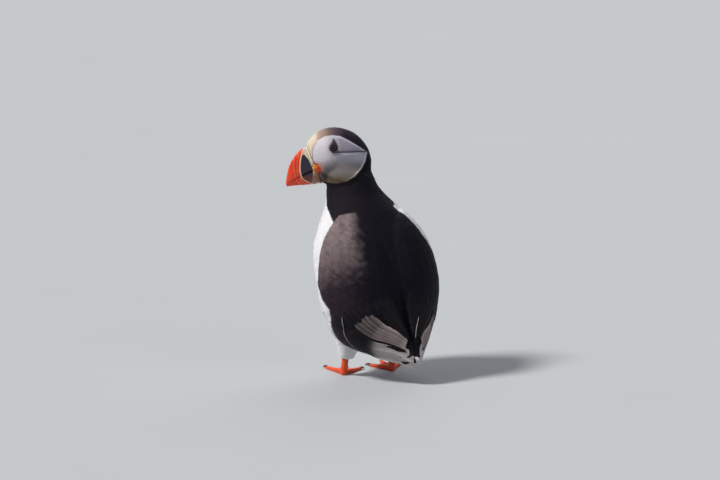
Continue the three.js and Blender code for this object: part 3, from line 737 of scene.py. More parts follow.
def build_mesh(name, points, faces):
    """A mesh from arrays of points in millimetres and triangles."""
    mesh = bpy.data.meshes.new(name)
    mesh.vertices.add(len(points))
    mesh.vertices.foreach_set("co", (points * MM).ravel())
    mesh.loops.add(faces.size)
    mesh.loops.foreach_set("vertex_index", faces.ravel().astype(np.int32))
    mesh.polygons.add(len(faces))
    mesh.polygons.foreach_set("loop_start", np.arange(0, faces.size, 3, dtype=np.int32))
    mesh.update(calc_edges=True)
    mesh.shade_smooth()
    mesh.set_sharp_from_angle(angle=math.radians(60))
    return mesh


def add_uv(mesh, places):
    """The bake map: one place on the unwrap for each vertex."""
    corners = np.empty(len(mesh.loops), np.int32)
    mesh.loops.foreach_get("vertex_index", corners)
    layer = mesh.uv_layers.new(name="OFBake")
    layer.data.foreach_set("uv", places[corners].astype(np.float32).ravel())


def unwrap(points, zone):
    """Places on an unwrap of the skin itself: round and along the body, or round the head."""
    if zone == HEAD_ZONE:
        away = points - HEAD_CENTRE
        ahead, left, up = away @ HEAD_FORWARD, away @ HEAD_LEFT, away @ HEAD_UP
        turn = np.arctan2(left, -ahead)
        rise = np.arctan2(up, np.hypot(ahead, left))
        return np.stack([0.5 + turn / (2 * np.pi) * 0.99, 0.5 + rise / np.pi * 0.99], 1)
    place, angle = body_place(points)
    angle = np.where(is_right(points, place), -angle, angle)
    low, high = place.min(), place.max()
    spread = np.abs(angle).max() + 1
    return np.stack([0.5 + angle / spread * 0.49, 0.005 + 0.99 * (place - low) / (high - low)], 1)


def feather_piece(name, surface, feathers, vane, zone):
    """Joined mesh of many feathers in the plumage's markings, faintly shaded along each vane."""
    points, faces, across, along = grow_vanes(surface, feathers, vane)
    count, size = len(feathers["root"]), len(across)
    mesh = build_mesh(name, points, faces)
    along_all, across_all = np.tile(along, count), np.tile(across, count)
    tint = plumage(points, feathers["zone"].repeat(size)) * feathers["shade"].repeat(size)[:, None]
    tint *= (1 + feathers["edge"].repeat(size) * (along_all ** 3 - 0.3))[:, None]
    add_tint(mesh, np.clip(tint, 0, 1))
    add_float(mesh, "along", along_all)
    add_float(mesh, "across", across_all)
    roots = unwrap(feathers["root"], zone).repeat(size, axis=0)
    patch = np.stack([across_all, 2 * along_all - 1], 1) * UV_PATCH / 2
    add_uv(mesh, roots + patch)
    return add_object(name, mesh)


def feather_gap(points, zones):
    """Distance between feather roots, smallest on the face and growing down the body."""
    place, _ = body_place(points)
    gap = 1.35 + 0.4 * step(2.0, 5.0, place)
    seen, _ = side_view(points)
    face = depth_inside(seen, FACE_OUTLINE)
    head = 0.9 + 0.2 * step(0, -6, face)
    near_eye = np.linalg.norm(seen - EYE_SEEN, axis=1)
    head = head - 0.2 * step(9, 5, near_eye)
    gap = np.where(zones == HEAD_ZONE, head, gap)
    return np.where(np.isin(zones, SHANK_ZONES), 1.35, gap)


def hard_parts():
    """The eyes, plates, rosettes, cere and bill as one tree to measure from."""
    names = [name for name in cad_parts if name.startswith(HARD_PARTS)]
    return tree_of(node_copy(names))


def trimmed(roots, heading, length, zones):
    """Head feathers' lengths halved up to twice to end short of the hard parts.

    Returns all lengths, and which feathers are left: those that still touch are dropped."""
    head = np.flatnonzero(zones == HEAD_ZONE)
    tree = hard_parts()
    keep = np.ones(len(roots), bool)
    for _ in range(2):
        tips = roots[head] + heading[head] * length[head, None]
        near = np.array([tree.find_nearest(tip)[3] for tip in tips.tolist()])
        length[head] = np.where(near < HARD_CLEARANCE, length[head] * 0.5, length[head])
    keep[head] = near >= HARD_CLEARANCE
    return length, keep


def plant(surface, find_zone, chosen, seed):
    """Feathers for the chosen triangles, as a table of roots, sizes, lift and colours."""
    rng = np.random.default_rng(seed)
    roots, normals, gaps = scatter(
        surface, chosen, lambda points: feather_gap(points, find_zone(points)), seed)
    zones = find_zone(roots)
    heading = lie_of_coat(roots, normals, zones)
    sway = rng.normal(0, 0.09, len(roots))
    heading = unit(heading + np.cross(normals, heading) * sway[:, None])
    head = zones == HEAD_ZONE
    shank = np.isin(zones, SHANK_ZONES)
    hem = np.where(shank, 0.55 + 0.45 * step(17, 30, roots[:, 2]), 1.0)
    length = gaps * np.where(head, 3.8, 5.2) * rng.uniform(0.88, 1.12, len(roots)) * hem
    length, keep = trimmed(roots, heading, length, zones)
    width = gaps * np.where(head, 2.0, 2.5) * rng.uniform(0.9, 1.1, len(roots))
    depth = coat_depth(zones)
    colour = plumage(roots + heading * (0.6 * length)[:, None], zones)
    dark = colour.mean(axis=1) < 0.1
    feathers = {
        "root": roots, "zone": zones, "heading": heading, "length": length, "width": width,
        "sink": 0.05 * depth, "lift": depth * rng.uniform(0.93, 1.03, len(roots)),
        "camber": 0.03 * width, "colour": colour,
        "shade": np.where(dark, rng.uniform(0.92, 1.08, len(roots)), 1.0),
        "edge": np.where(dark, rng.uniform(0.0, 0.5, len(roots)), 0.02),
    }
    return chosen_of(feathers, keep)


def chosen_of(feathers, mask):
    return {key: values[mask] for key, values in feathers.items()}


# ---- flight feathers ---------------------------------------------------------------------------

BLADE_COLUMNS = np.array([-1, -0.8, -0.45, -0.08, 0.08, 0.45, 0.8, 1])
BLADE_STATIONS = 18
BLADE_THICKNESS = 0.55
SHAFT_HEIGHT = 0.22
# Half width of a quill's blade along its length, as shares of its widest.
BLADE_OUTLINE = np.array([[0, 0.45], [0.15, 0.8], [0.45, 1.0], [0.75, 0.95], [0.9, 0.72],
                          [0.97, 0.42], [1.0, 0.06]])


def blade(path, width, rng):
    """One flight feather: a thin closed blade with a raised shaft and a few parted barbs.

    path(shares) gives the blade's middle line and the ways across it and up from it.
    Returns points, triangles, and each vertex's place across (-1 to 1) and along (0 to 1)."""
    shares = np.linspace(0, 1, BLADE_STATIONS) ** 0.9
    centre, side, up = path(shares)
    half = width / 2 * np.interp(shares, *BLADE_OUTLINE.T)
    wander = 1 + 0.05 * np.sin(shares * rng.uniform(9, 16) + rng.uniform(0, 6, 1))
    edge = np.ones((BLADE_STATIONS, len(BLADE_COLUMNS)))
    for column in (0, -1):
        parted = rng.random(BLADE_STATIONS) < 0.16
        edge[:, column] = wander * np.where(parted & (shares > 0.35), rng.uniform(0.78, 0.9), 1)
    across = BLADE_COLUMNS[None] * half[:, None] * edge
    rise = 0.10 * width * (1 - BLADE_COLUMNS ** 2)[None] * (half / half.max())[:, None]
    ridge = SHAFT_HEIGHT * (np.abs(BLADE_COLUMNS) < 0.1)[None] * (1 - 0.7 * shares)[:, None]
    thick = BLADE_THICKNESS * (1 - 0.75 * BLADE_COLUMNS ** 2)[None] * (1 - 0.5 * shares)[:, None]
    top = centre[:, None] + side[:, None] * across[..., None] + up[:, None] * (rise + ridge)[..., None]
    low = top - up[:, None] * (thick + ridge)[..., None]
    rows, columns = across.shape
    faces = []
    layer = rows * columns
    for i in range(rows - 1):
        for j in range(columns - 1):
            a, b = i * columns + j, i * columns + j + 1
            c, d = a + columns, b + columns
            faces += [(a, b, d), (a, d, c), (layer + a, layer + d, layer + b),
                      (layer + a, layer + c, layer + d)]
    rim = [i * columns for i in range(rows)]
    rim += [(rows - 1) * columns + j for j in range(1, columns)]
    rim += [i * columns + columns - 1 for i in range(rows - 2, -1, -1)]
    rim += list(range(columns - 2, 0, -1))
    for a, b in zip(rim, rim[1:] + rim[:1]):
        faces += [(a, layer + a, layer + b), (a, layer + b, b)]
    points = np.vstack([top.reshape(-1, 3), low.reshape(-1, 3)])
    along = np.repeat(shares, columns)
    wide = np.tile(BLADE_COLUMNS, rows)
    return points, np.array(faces), np.tile(wide, 2), np.tile(along, 2)


def wing_path(side, rows, across, lift, beyond=(0, 0, 0)):
    """Course of a blade over a folded wing: rows, places across and heights at its ends.

    beyond carries the tip on past the wing's own end, in millimetres."""
    def path(shares):
        row = rows[0] + (rows[1] - rows[0]) * shares
        place = np.interp(shares, np.linspace(0, 1, len(across)), across)
        height = lift[0] + (lift[1] - lift[0]) * shares
        centre = wing_point(side, row, place, height) + np.outer(shares ** 2, beyond)
        ahead = wing_point(side, row + 0.05, place, height) - wing_point(side, row, place, height)
        wide = wing_point(side, row, np.clip(place + 0.03, 0, 1), height) - wing_point(
            side, row, np.clip(place - 0.03, 0, 1), height)
        way = unit(np.gradient(centre, axis=0))
        up = unit(np.cross(ahead, wide)) * side
        across_way = unit(np.cross(up, way))
        return centre, across_way, unit(np.cross(way, across_way))
    return path


TAIL_PAIRS = 6
TAIL_SPREAD = 0.3                # tips' spread as a share of the tail's half width
TAIL_REACH = 0.78                # feathers' length as a share of the tail's


def tail_path(share_across, lift):
    """Course of a tail feather; share_across runs from -1 to 1 over the fan."""
    low, high = (np.array(corner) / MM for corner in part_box("tail"))
    middle = (low[0] + high[0]) / 2
    root = np.array([middle + 6.5 * share_across, low[1] + 1, high[2] - 3])
    tip_back = high[1] - 0.5 - 3.5 * share_across ** 2
    tip = np.array([middle + TAIL_SPREAD * (high[0] - middle) * share_across, tip_back,
                    low[2] + 3.0 - 1.2 * share_across ** 2])
    tip = root + TAIL_REACH * (tip - root)

    def path(shares):
        centre = root + (tip - root) * shares[:, None]
        centre[:, 2] += lift - 1.2 * (1 - shares) * share_across ** 2
        way = unit(np.gradient(centre, axis=0))
        up = unit(np.array([0.10 * share_across, 0.35, 0.93]))
        across_way = unit(np.cross(np.tile(up, (len(shares), 1)), way))
        return centre, across_way, unit(np.cross(way, across_way))
    return path


def quill_piece(name, blades):
    """Joins blades, each (path, width, root and tip colours, pale edge), into one mesh."""
    rng = np.random.default_rng(SEED + len(name))
    parts, start = [], 0
    for number, (path, width, (root, tip), fringe) in enumerate(blades):
        points, faces, across, along = blade(path, width, rng)
        colour = blend(root, tip, step(0.42, 0.56, along))
        tone = colour * (1 + 0.5 * fringe * (np.abs(across) > 0.9) - 0.3 * (np.abs(across) < 0.1)
                         - 0.1 * along + 0.35 * fringe * (along > 0.93))[:, None]
        spot = np.stack([(number + 0.5 + 0.46 * across) / len(blades), 0.01 + 0.98 * along], 1)
        parts.append((points, faces + start, across, along, tone * rng.uniform(0.78, 1.14), spot))
        start += len(points)
    points, faces, across, along, tone, spot = (np.concatenate(column) for column in zip(*parts))
    mesh = build_mesh(name, points, faces)
    add_tint(mesh, np.clip(tone, 0, 1))
    add_float(mesh, "along", along * 5)
    add_float(mesh, "across", across)
    add_uv(mesh, spot)
    return add_object(name, mesh)


QUILL_DARK = rgb(25, 21, 27)
# Quill tips: the quills' own dark grey-brown lightened by painted sunlight and sheen.
QUILL_SUNLIT_BROWN = rgb(168, 151, 150)
QUILL_SUNLIT_GREY = rgb(212, 203, 202)
QUILL_HIGHLIGHT = rgb(176, 168, 170)
# Pale strips painted as highlights on edges that catch the light, by side: rows, places across, width
HIGHLIGHT_EDGES = {1: (((8.15, 8.55), (0.45, 0.37), 1.0), ((8.55, 9.25), (0.36, 0.06), 1.2)),
              -1: (((9.6, 10.94), (0.87, 0.985), 0.8),)}
# How far the lowest and the highest primary are carried past the wing's own end, by side
PRIMARY_REACH = {1: ((-4.0, -2.0, -10.5), (-3.0, 1.0, -5.0)),
                 -1: ((2.0, -2.0, -7.0), (2.0, 1.0, -3.0))}
# Places across the wing of the brown fan's lowest and highest blades, by side
FAN_ACROSS = {1: ((0.50, 0.49, 0.60), (0.69, 0.71, 0.86)),
              -1: ((0.36, 0.40, 0.56), (0.50, 0.55, 0.72))}
# Places across the wing of the lowest tertial, by side
TERTIAL_START = {1: (0.80, 0.86, 0.93), -1: (0.60, 0.68, 0.84)}
COVERTS = 15
STILL = ((0, 0, 0), (0, 0, 0))   # blades that end with the wing


def fan(side, count, rows, across, lift, width, tones, fringe, beyond=STILL):
    """Blades fanned over the wing.

    rows, across, lift and beyond are wing_path's, for the fan's first and last blade; the
    root and tip tones alternate from blade to blade."""
    blades = []
    for k in range(count):
        s = k / (count - 1)
        course = [[low + (high - low) * s for low, high in zip(*ends)]
                  for ends in (rows, across, lift, beyond)]
        blades.append((wing_path(side, *course), width, tones[k % 2], fringe))
    return blades


def wing_blades(side):
    """Primaries low on the wing and the brown fan over them, both with tips painted sunlit, two dark
    blades between them as a painted shadow line, the dark tertials above, and painted highlight strips.
    """
    grey = [(QUILL_DARK, QUILL_SUNLIT_GREY), (QUILL_DARK, blend(QUILL_SUNLIT_GREY, QUILL_DARK, 0.2))]
    brown = [(blend(QUILL_SUNLIT_BROWN, QUILL_DARK, 0.55), QUILL_SUNLIT_BROWN),
             (blend(QUILL_SUNLIT_BROWN, QUILL_DARK, 0.8), blend(QUILL_SUNLIT_BROWN, QUILL_DARK, 0.35))]
    dark = [(QUILL_DARK, QUILL_DARK)] * 2
    blades = fan(side, 7, ((8.3, 11.9), (8.3, 11.6)), ((0.08, 0.14, 0.40), (0.34, 0.42, 0.66)),
                 ((-1.0, -1.1), (-0.7, -0.6)), 9.5, grey, 0.35, PRIMARY_REACH[side])
    # Two dark blades along the fan's lower edge stand in for the shadow it casts on the primaries:
    # painted shade.
    blades += fan(side, 2, ((8.3, 11.4), (8.3, 11.35)), ((0.34, 0.38, 0.52), (0.42, 0.44, 0.56)),
                  ((-0.7, -0.5), (-0.6, -0.4)), 7.0, dark, 0.1)
    blades += fan(side, 9, ((8.3, 11.3), (8.3, 11.0)), FAN_ACROSS[side],
                  ((-0.6, -0.2), (-0.5, 0.15)), 6.2, brown, 0.7)
    blades += fan(side, 6, ((7.9, 10.9), (7.9, 10.6)), (TERTIAL_START[side], (0.95, 0.97, 0.98)),
                  ((-0.6, 0.3), (-0.5, 0.6)), 7.5, dark, 0.1)
    # Strips painted pale as highlights where edges catch the light.
    for rows, across, width in HIGHLIGHT_EDGES[side]:
        blades.append((wing_path(side, rows, across, (1.3, 1.7)), width, (QUILL_HIGHLIGHT,) * 2, 0.1))
    return blades


def covert_blades(side):
    """The greater coverts, one row laid over the roots of the quills."""
    blades = []
    for k in range(COVERTS):
        s = k / (COVERTS - 1)
        reach = 8.9 - 0.4 * (s - 0.5) ** 2 - 0.08 * (k % 2)
        blades.append((wing_path(side, (7.9, reach), (0.06 + 0.86 * s, 0.09 + 0.85 * s),
                                 (-0.9, 0.1 + 0.1 * (k % 3))),
                       8.2, (WING_HIND,) * 2, 0.0))
    return blades


def tail_blades():
    """Tail feathers from the outermost to the middle one, which lies on top."""
    order = sorted(range(-TAIL_PAIRS, TAIL_PAIRS + 1), key=lambda k: -abs(k))
    return [(tail_path(k / TAIL_PAIRS, 1.1 - 0.16 * abs(k)), 7.0, (QUILL_DARK,) * 2, 0.25)
            for k in order]


# ---- horn and bare skin ------------------------------------------------------------------------

# Lines down the bill's side, each point's height and how far ahead it is of the head's middle:
# where the red begins, where the slate begins behind it, and the grooves in the red.
RED_EDGE = np.array([[-20.5, 31], [-17.6, 35.3], [-11.8, 41.2], [-8.7, 42], [-2, 41.6],
                     [5.5, 39.4], [12, 36.4], [16.9, 32.4]])
SLATE_EDGE = np.array([[-18, 33.5], [-13.5, 31.2], [-8, 29.3], [-2.7, 28.9], [6.6, 30.6],
                       [11.8, 33.4]])
GROOVES = (
    np.array([[-19, 38], [-15.7, 41.9], [-9.6, 45.3], [-6, 45.3], [0.4, 44.5], [6.5, 42.6],
              [12.3, 39.5]]),
    np.array([[-17.5, 44.4], [-11, 48.3], [-6.2, 48], [0, 47.8], [5.7, 46.8], [9, 45]]),
)
RED = rgb(224, 54, 26)
RED_TIP = rgb(232, 82, 34)
RIDGE_CREAM = rgb(236, 190, 160)
SLATE = rgb(46, 42, 56)
GAPE_RED = rgb(120, 52, 40)
GROOVE_PALE = rgb(240, 140, 92)
CERE_SIDE_SHADED = rgb(176, 130, 96)
CERE_LOW_SHADED = rgb(150, 88, 62)
ROSETTE_DEEP = rgb(228, 92, 24)
ROSETTE_PALE = rgb(244, 186, 60)
PUPIL = rgb(9, 8, 9)
IRIS = rgb(30, 20, 18)
LID_RED = rgb(62, 30, 30)
PLATE_DARK = rgb(50, 38, 54)
PLATE_PALE = rgb(74, 66, 80)
FOOT_ORANGE = rgb(228, 78, 34)
FOOT_HIGHLIGHT = rgb(238, 120, 66)
FOOT_SHADE = rgb(176, 52, 26)
CLAW_DARK = rgb(26, 22, 22)
CLAW_WORN = rgb(84, 72, 66)
MOUTH_OVERLAP = 0.35             # how far each mandible's edge is drawn into the other's


def ahead_of(line, forward, up):
    """How far in front of a line down the bill's side each place is."""
    return (forward - np.interp(up, *line.T)) * 0.93


def bill_zones(forward, up):
    """Shares of each colour zone over the bill."""
    ridge = ahead_of(RED_EDGE, forward, up)
    behind = step(-0.5, -0.9, ridge)
    slate = behind * step(-0.2, 0.3, ahead_of(SLATE_EDGE, forward, up)) * step(12.6, 11.2, up)
    gape = behind * step(-7, -13, up)
    groove = sum(np.exp(-(ahead_of(line, forward, up) / 0.5) ** 2) for line in GROOVES)
    return ridge, behind, slate, gape, groove


def bill_colour(forward, up, is_lower):
    ridge, behind, slate, gape, groove = bill_zones(forward, up)
    colour = blend(RED, RED_TIP, step(46, 57, forward) * 0.7)
    colour = blend(colour, GROOVE_PALE, np.clip(groove, 0, 1) * (0.75 if is_lower else 0.45))
    colour = blend(colour, RIDGE_CREAM, step(1.0, 0.35, np.abs(ridge)))
    colour = blend(colour, CREAM, behind)
    colour = blend(colour, SLATE, slate)
    colour = blend(colour, GAPE_RED, gape * 0.8)
    if is_lower:
        colour = blend(colour, CREAM, step(-19.2, -20.6, up + 0.28 * (forward - 28)) * 0.7)
    return colour


def bill_piece(part):
    """The upper or lower mandible with its ridge, grooves and sunken slate base."""
    is_lower = part == "lower"
    to_mouth = HEAD_UP if is_lower else -HEAD_UP

    def dress(points, normals):
        forward, up, out = on_head(points)
        ridge, _, slate, _, groove = bill_zones(forward, up)
        closing = MOUTH_OVERLAP * step(0.1, 0.8, normals @ to_mouth) * step(20, 24, forward)
        relief = 0.45 * np.exp(-((ridge + 0.2) / 0.8) ** 2) - 0.35 * groove - 0.2 * slate
        relief += 0.06 * np.sin(ridge * 2.6 + 0.4 * np.sin(up)) * step(0.5, 2, ridge)
        relief *= step(0.5, 2.0, out)
        shaped = points + normals * relief[:, None] + np.outer(closing, to_mouth)
        return shaped, bill_colour(forward, up, is_lower)

    return dressed_shell(f"bill_{part}_horn", [f"bill_{part}"], 0.4, 0.15, 4, dress)


def cere_piece():
    """The pale pitted band round the bill's base: its own cream at the top, darker and browner
    downwards with painted shade.
    """
    def dress(points, normals):
        up = on_head(points)[1]
        pits = ripple(points, 1.6, SEED + 5)
        # Painted shade: the cream darkens and browns towards the bottom.
        tone = blend(CREAM, CERE_SIDE_SHADED, step(6, -6, up))
        tone = blend(tone, CERE_LOW_SHADED, step(-6, -16, up))
        tone = tone * (1 - 0.12 * step(0.1, 0.8, pits))[:, None]
        return points + normals * (0.1 * pits)[:, None], tone

    return dressed_shell("cere_band", ["cere"], 0.4, 0.1, 8, dress)


def rosette_piece(side):
    """Fleshy rosette at the gape, wrinkled out from its middle."""
    def dress(points, normals):
        away = points - box_middle(f"rosette_{side}")
        ahead, up = away @ HEAD_FORWARD, away @ HEAD_UP
        turn = np.arctan2(up, ahead)
        reach = np.hypot(ahead, up)
        folds = np.sin(9 * turn + 1.6 * np.sin(2 * turn) + 0.7 * reach) * step(0.4, 2.2, reach)
        folds = 0.7 * folds + 0.5 * ripple(points, 2.4, SEED + 7)
        flatter = points - np.outer(0.4 * (away @ HEAD_LEFT), HEAD_LEFT)
        tips = step(0.1, 0.9, folds) * step(-2.5, 2.5, up + ahead * 0.5)
        return flatter + normals * (0.34 * folds)[:, None], blend(ROSETTE_DEEP, ROSETTE_PALE, tips)

    return dressed_shell(f"gape_rosette_{side}", [f"rosette_{side}"], 0.35, 0.15, 5, dress)


def ball(name, centre, radius, segments=40, rings=24):
    """A round mesh whose pole looks out of the head's side."""
    bm = bmesh.new()
    bmesh.ops.create_uvsphere(bm, u_segments=segments, v_segments=rings, radius=radius * MM)
    mesh = bpy.data.meshes.new(name)
    bm.to_mesh(mesh)
    bm.free()
    points = mesh_points(mesh)
    outward = HEAD_LEFT * np.sign(dot(centre - HEAD_CENTRE, HEAD_LEFT))
    third = np.cross(outward, HEAD_FORWARD)
    set_points(mesh, centre + points @ np.stack([HEAD_FORWARD, third, outward]))
    mesh.shade_smooth()
    return add_object(name, mesh), outward


def eye_piece(side):
    """The eyeball: a dark brown iris round a black pupil."""
    centre = box_middle(f"eye_{side}")
    piece, outward = ball(f"eyeball_{side}", centre, eye_radius(side))
    away = mesh_points(piece.data) - centre
    off_axis = np.linalg.norm(away - np.outer(away @ outward, outward), axis=1)
    add_tint(piece.data, blend(PUPIL, IRIS, step(1.6, 1.75, off_axis) * step(3.4, 2.9, off_axis)))
    return piece


def lid_piece(side):
    """Thin bare rim of the lids, a ring lying on the eyeball."""
    centre = box_middle(f"eye_{side}")
    radius = eye_radius(side)
    outward = HEAD_LEFT * SIDES[side]
    opening, tube = 0.76 * radius, 0.42
    rise = math.sqrt(radius ** 2 - opening ** 2)
    points, faces, around, about = [], [], 56, 10
    for i in range(around):
        turn = 2 * math.pi * i / around
        spoke = HEAD_FORWARD * math.cos(turn) * 1.05 + HEAD_UP * math.sin(turn) * 0.92
        wrinkle = 1 + 0.10 * math.sin(14 * turn)
        for j in range(about):
            roll = 2 * math.pi * j / about
            points.append(centre + spoke * (opening + tube * wrinkle * math.cos(roll))
                          + outward * (rise + 0.1 + tube * wrinkle * math.sin(roll)))
            a, b = i * about + j, i * about + (j + 1) % about
            c, d = (a + about) % (around * about), (b + about) % (around * about)
            faces += [(a, c, d), (a, d, b)]
    mesh = build_mesh(f"eyelids_{side}", np.array(points), np.array(faces))
    add_tint(mesh, LID_RED)
    return add_object(f"eyelids_{side}", mesh)


def plate_piece(side):
    """The horny plates above and below the eye."""
    def dress(points, _):
        spots = step(0.2, 0.9, ripple(points, 2.2, SEED + 6))
        return points, blend(PLATE_DARK, PLATE_PALE, 0.6 * spots)

    nodes = [f"eye_plate_upper_{side}", f"eye_plate_lower_{side}"]
    return dressed_shell(f"eye_plates_{side}", nodes, 0.3, 0.05, 4, dress)


TOE_SCUTE = 1.9                  # length of a scute along a toe
TARSUS_SCUTE = 2.2


def toe_lines(side):
    """Start, direction and length of each toe, from the tarsus to the claw."""
    heel = box_middle(f"tarsus_{side}") * [1, 1, 0]
    heel[1] = (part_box(f"tarsus_{side}")[0].y + 0.0034) / MM
    for toe in TOES:
        claw = box_middle(f"claw_{side}_{toe}") * [1, 1, 0]
        way = claw - heel
        yield heel, unit(way), np.linalg.norm(way)


def toe_rings(points, side):
    """Waves of the scutes along each toe, and how far each point belongs to a toe."""
    ring, on_toe = np.zeros(len(points)), np.zeros(len(points))
    for heel, way, length in toe_lines(side):
        away = (points - heel) * [1, 1, 0]
        along = away @ way
        off = np.linalg.norm(away - np.outer(along, way), axis=1)
        near = step(3.2, 1.6, off) * step(2, 6, along) * step(length, length - 4, along)
        ring = np.where(near > on_toe, np.cos(along * 2 * np.pi / TOE_SCUTE), ring)
        on_toe = np.maximum(on_toe, near)
    return ring, on_toe


def leg_piece(side):
    """Tarsus, toes and webs as one scaly skin, ringed by scutes along each toe; crests painted lighter
    as highlights, grooves and webs painted in shade.
    """
    def dress(points, normals):
        height = points[:, 2]
        ring, on_toe = toe_rings(points, side)
        top = step(-0.1, 0.5, normals[:, 2]) * step(12, 6, height)
        tarsus = step(6, 9, height)
        scutes = np.cos(height * 2 * np.pi / TARSUS_SCUTE + 0.6 * np.sin(points[:, 0]))
        web = top * (1 - on_toe) * (1 - tarsus)
        wrinkle = ripple(points * [1, 0.35, 1], 1.6, SEED + 8)
        relief = 0.16 * ring * on_toe * top + 0.14 * scutes * tarsus + 0.10 * wrinkle * web
        relief = np.where(height < 0.6, 0, relief)
        # Painted highlight on the scute crests, painted shade in the grooves between scutes and on the
        # webs.
        tone = blend(FOOT_ORANGE, FOOT_HIGHLIGHT, 0.4 * step(0.0, 1.0, ring * on_toe + scutes * tarsus))
        shade = 0.5 * web + 0.5 * step(0.2, -0.6, ring) * on_toe
        shade = shade + 0.35 * step(0, -0.8, scutes) * tarsus
        shaped = points + normals * relief[:, None]
        shaped[:, 2] = np.maximum(shaped[:, 2], 0)
        return shaped, blend(tone, FOOT_SHADE, np.clip(shade, 0, 0.7))

    return dressed_shell(f"leg_{side}", [f"tarsus_{side}", f"foot_{side}"], 0.55, 0.3, 5, dress)


def claw_piece(side):
    """The three claws of one foot, rounded and worn paler in patches."""
    def dress(points, _):
        points[:, 2] = np.maximum(points[:, 2], 0)
        worn = step(0.3, 1.0, ripple(points, 4, SEED + 9))
        return points, blend(CLAW_DARK, CLAW_WORN, 0.5 * worn)

    nodes = [f"claw_{side}_{toe}" for toe in TOES]
    return dressed_shell(f"claws_{side}", nodes, 0.28, 0.1, 3, dress)


# ---- materials ---------------------------------------------------------------------------------


class Nodes:
    """A material's node tree with short calls for the nodes used here."""

    def __init__(self, name):
        self.material = bpy.data.materials.new(name)
        self.material.use_nodes = True
        self.tree = self.material.node_tree
        self.shader = self.tree.nodes["Principled BSDF"]

    def add(self, kind, settings=None, **inputs):
        node = self.tree.nodes.new(kind)
        for key, value in (settings or {}).items():
            setattr(node, key, value)
        for key, value in inputs.items():
            self.feed(node.inputs[key.replace("_", " ")], value)
        return node

    def feed(self, socket, value):
        if isinstance(value, bpy.types.NodeSocket):
            self.tree.links.new(value, socket)
        else:
            socket.default_value = value

    def attribute(self, name, output="Fac"):
        return self.add("ShaderNodeAttribute", {"attribute_name": name}).outputs[output]

    def math(self, operation, a, b=0.0):
        node = self.tree.nodes.new("ShaderNodeMath")
        node.operation = operation
        self.feed(node.inputs[0], a)
        self.feed(node.inputs[1], b)
        return node.outputs[0]

    def ranged(self, value, low, high, start=0.0, end=1.0):
        node = self.tree.nodes.new("ShaderNodeMapRange")
        for socket, given in zip(node.inputs, (value, start, end, low, high)):
            self.feed(socket, given)
        return node.outputs[0]

    def noise(self, scale, detail=3.0, rough=0.55):
        place = self.add("ShaderNodeTexCoord").outputs["Object"]
        return self.add("ShaderNodeTexNoise", Vector=place, Scale=scale, Detail=detail,
                        Roughness=rough).outputs["Fac"]

    def mix(self, share, a, b, kind="MIX"):
        node = self.tree.nodes.new("ShaderNodeMix")
        node.data_type = "RGBA"
        node.blend_type = kind
        for socket, given in zip((node.inputs[0], node.inputs[6], node.inputs[7]), (share, a, b)):
            self.feed(socket, given)
        return node.outputs[2]

    def shade(self, colour, amount):
        """A colour made lighter or darker by a factor round one."""
        grey = self.add("ShaderNodeCombineColor", Red=amount, Green=amount, Blue=amount)
        return self.mix(1.0, colour, grey.outputs[0], "MULTIPLY")

    def bump(self, height, distance, strength=1.0, before=None):
        node = self.add("ShaderNodeBump", Height=height, Distance=distance, Strength=strength)
        if before is not None:
            self.feed(node.inputs["Normal"], before)
        return node.outputs[0]

    def finish(self, **inputs):
        for key, value in inputs.items():
            self.feed(self.shader.inputs[key.replace("_", " ")], value)
        return self.material


def plain(colour):
    return (*[float(share) for share in colour], 1.0)


def plumage_material(name, sheen, sheen_tint, roughness, gloss, mottle=0.14):
    """Feather: barbs run out from the shaft, with soft patches and a sheen."""
    n = Nodes(name)
    along, across = n.attribute("along"), n.attribute("across")
    slant = n.math("ADD", n.math("MULTIPLY", along, 60.0),
                   n.math("MULTIPLY", n.math("ABSOLUTE", across), -22.0))
    barb = n.math("SINE", slant)
    patch = n.noise(130.0)
    fine = n.noise(900.0, 2.0)
    amount = n.math("ADD", n.ranged(patch, 1 - mottle, 1 + mottle, 0.3, 0.7),
                    n.ranged(barb, -0.05, 0.05, -1, 1))
    amount = n.math("ADD", amount, n.ranged(fine, -0.06, 0.06, 0.3, 0.7))
    colour = n.shade(n.attribute("tint", "Color"), amount)
    relief = n.bump(barb, 0.00006, 0.5)
    rough = n.ranged(patch, roughness - 0.06, roughness + 0.08, 0.3, 0.7)
    return n.finish(Base_Color=colour, Roughness=rough, Normal=relief, Sheen_Weight=sheen,
                    Sheen_Roughness=0.45, Sheen_Tint=plain(sheen_tint), Specular_IOR_Level=gloss)


def skin_material():
    """Skin under the coat, in the coat's own markings, pored and painted darker as the shade under the
    feathers.
    """
    n = Nodes("skin_under_coat")
    pores = n.noise(700.0, 2.0)
    # Painted shade under the feathers: the markings darkened to 0.6 to 0.9, varied by the pores.
    amount = n.ranged(pores, 0.6, 0.9, 0.3, 0.7)
    colour = n.shade(n.attribute("tint", "Color"), amount)
    return n.finish(Base_Color=colour, Roughness=n.ranged(pores, 0.7, 0.9, 0.3, 0.7),
                    Normal=n.bump(pores, 0.0002, 0.6), Specular_IOR_Level=0.2)


def horn_material(name, roughness, coat, grain, relief=0.00008):
    """Horn, bare skin or scutes coloured by the mesh, with fine growth marks."""
    n = Nodes(name)
    marks = n.noise(grain, 4.0)
    broad = n.noise(90.0)
    amount = n.math("ADD", n.ranged(broad, 0.88, 1.1, 0.3, 0.7), n.ranged(marks, -0.07, 0.07, 0.3, 0.7))
    colour = n.shade(n.attribute("tint", "Color"), amount)
    return n.finish(Base_Color=colour, Roughness=n.ranged(marks, roughness - 0.08, roughness + 0.1),
                    Normal=n.bump(marks, relief, 0.7), Coat_Weight=coat, Coat_Roughness=0.25,
                    Specular_IOR_Level=0.45)


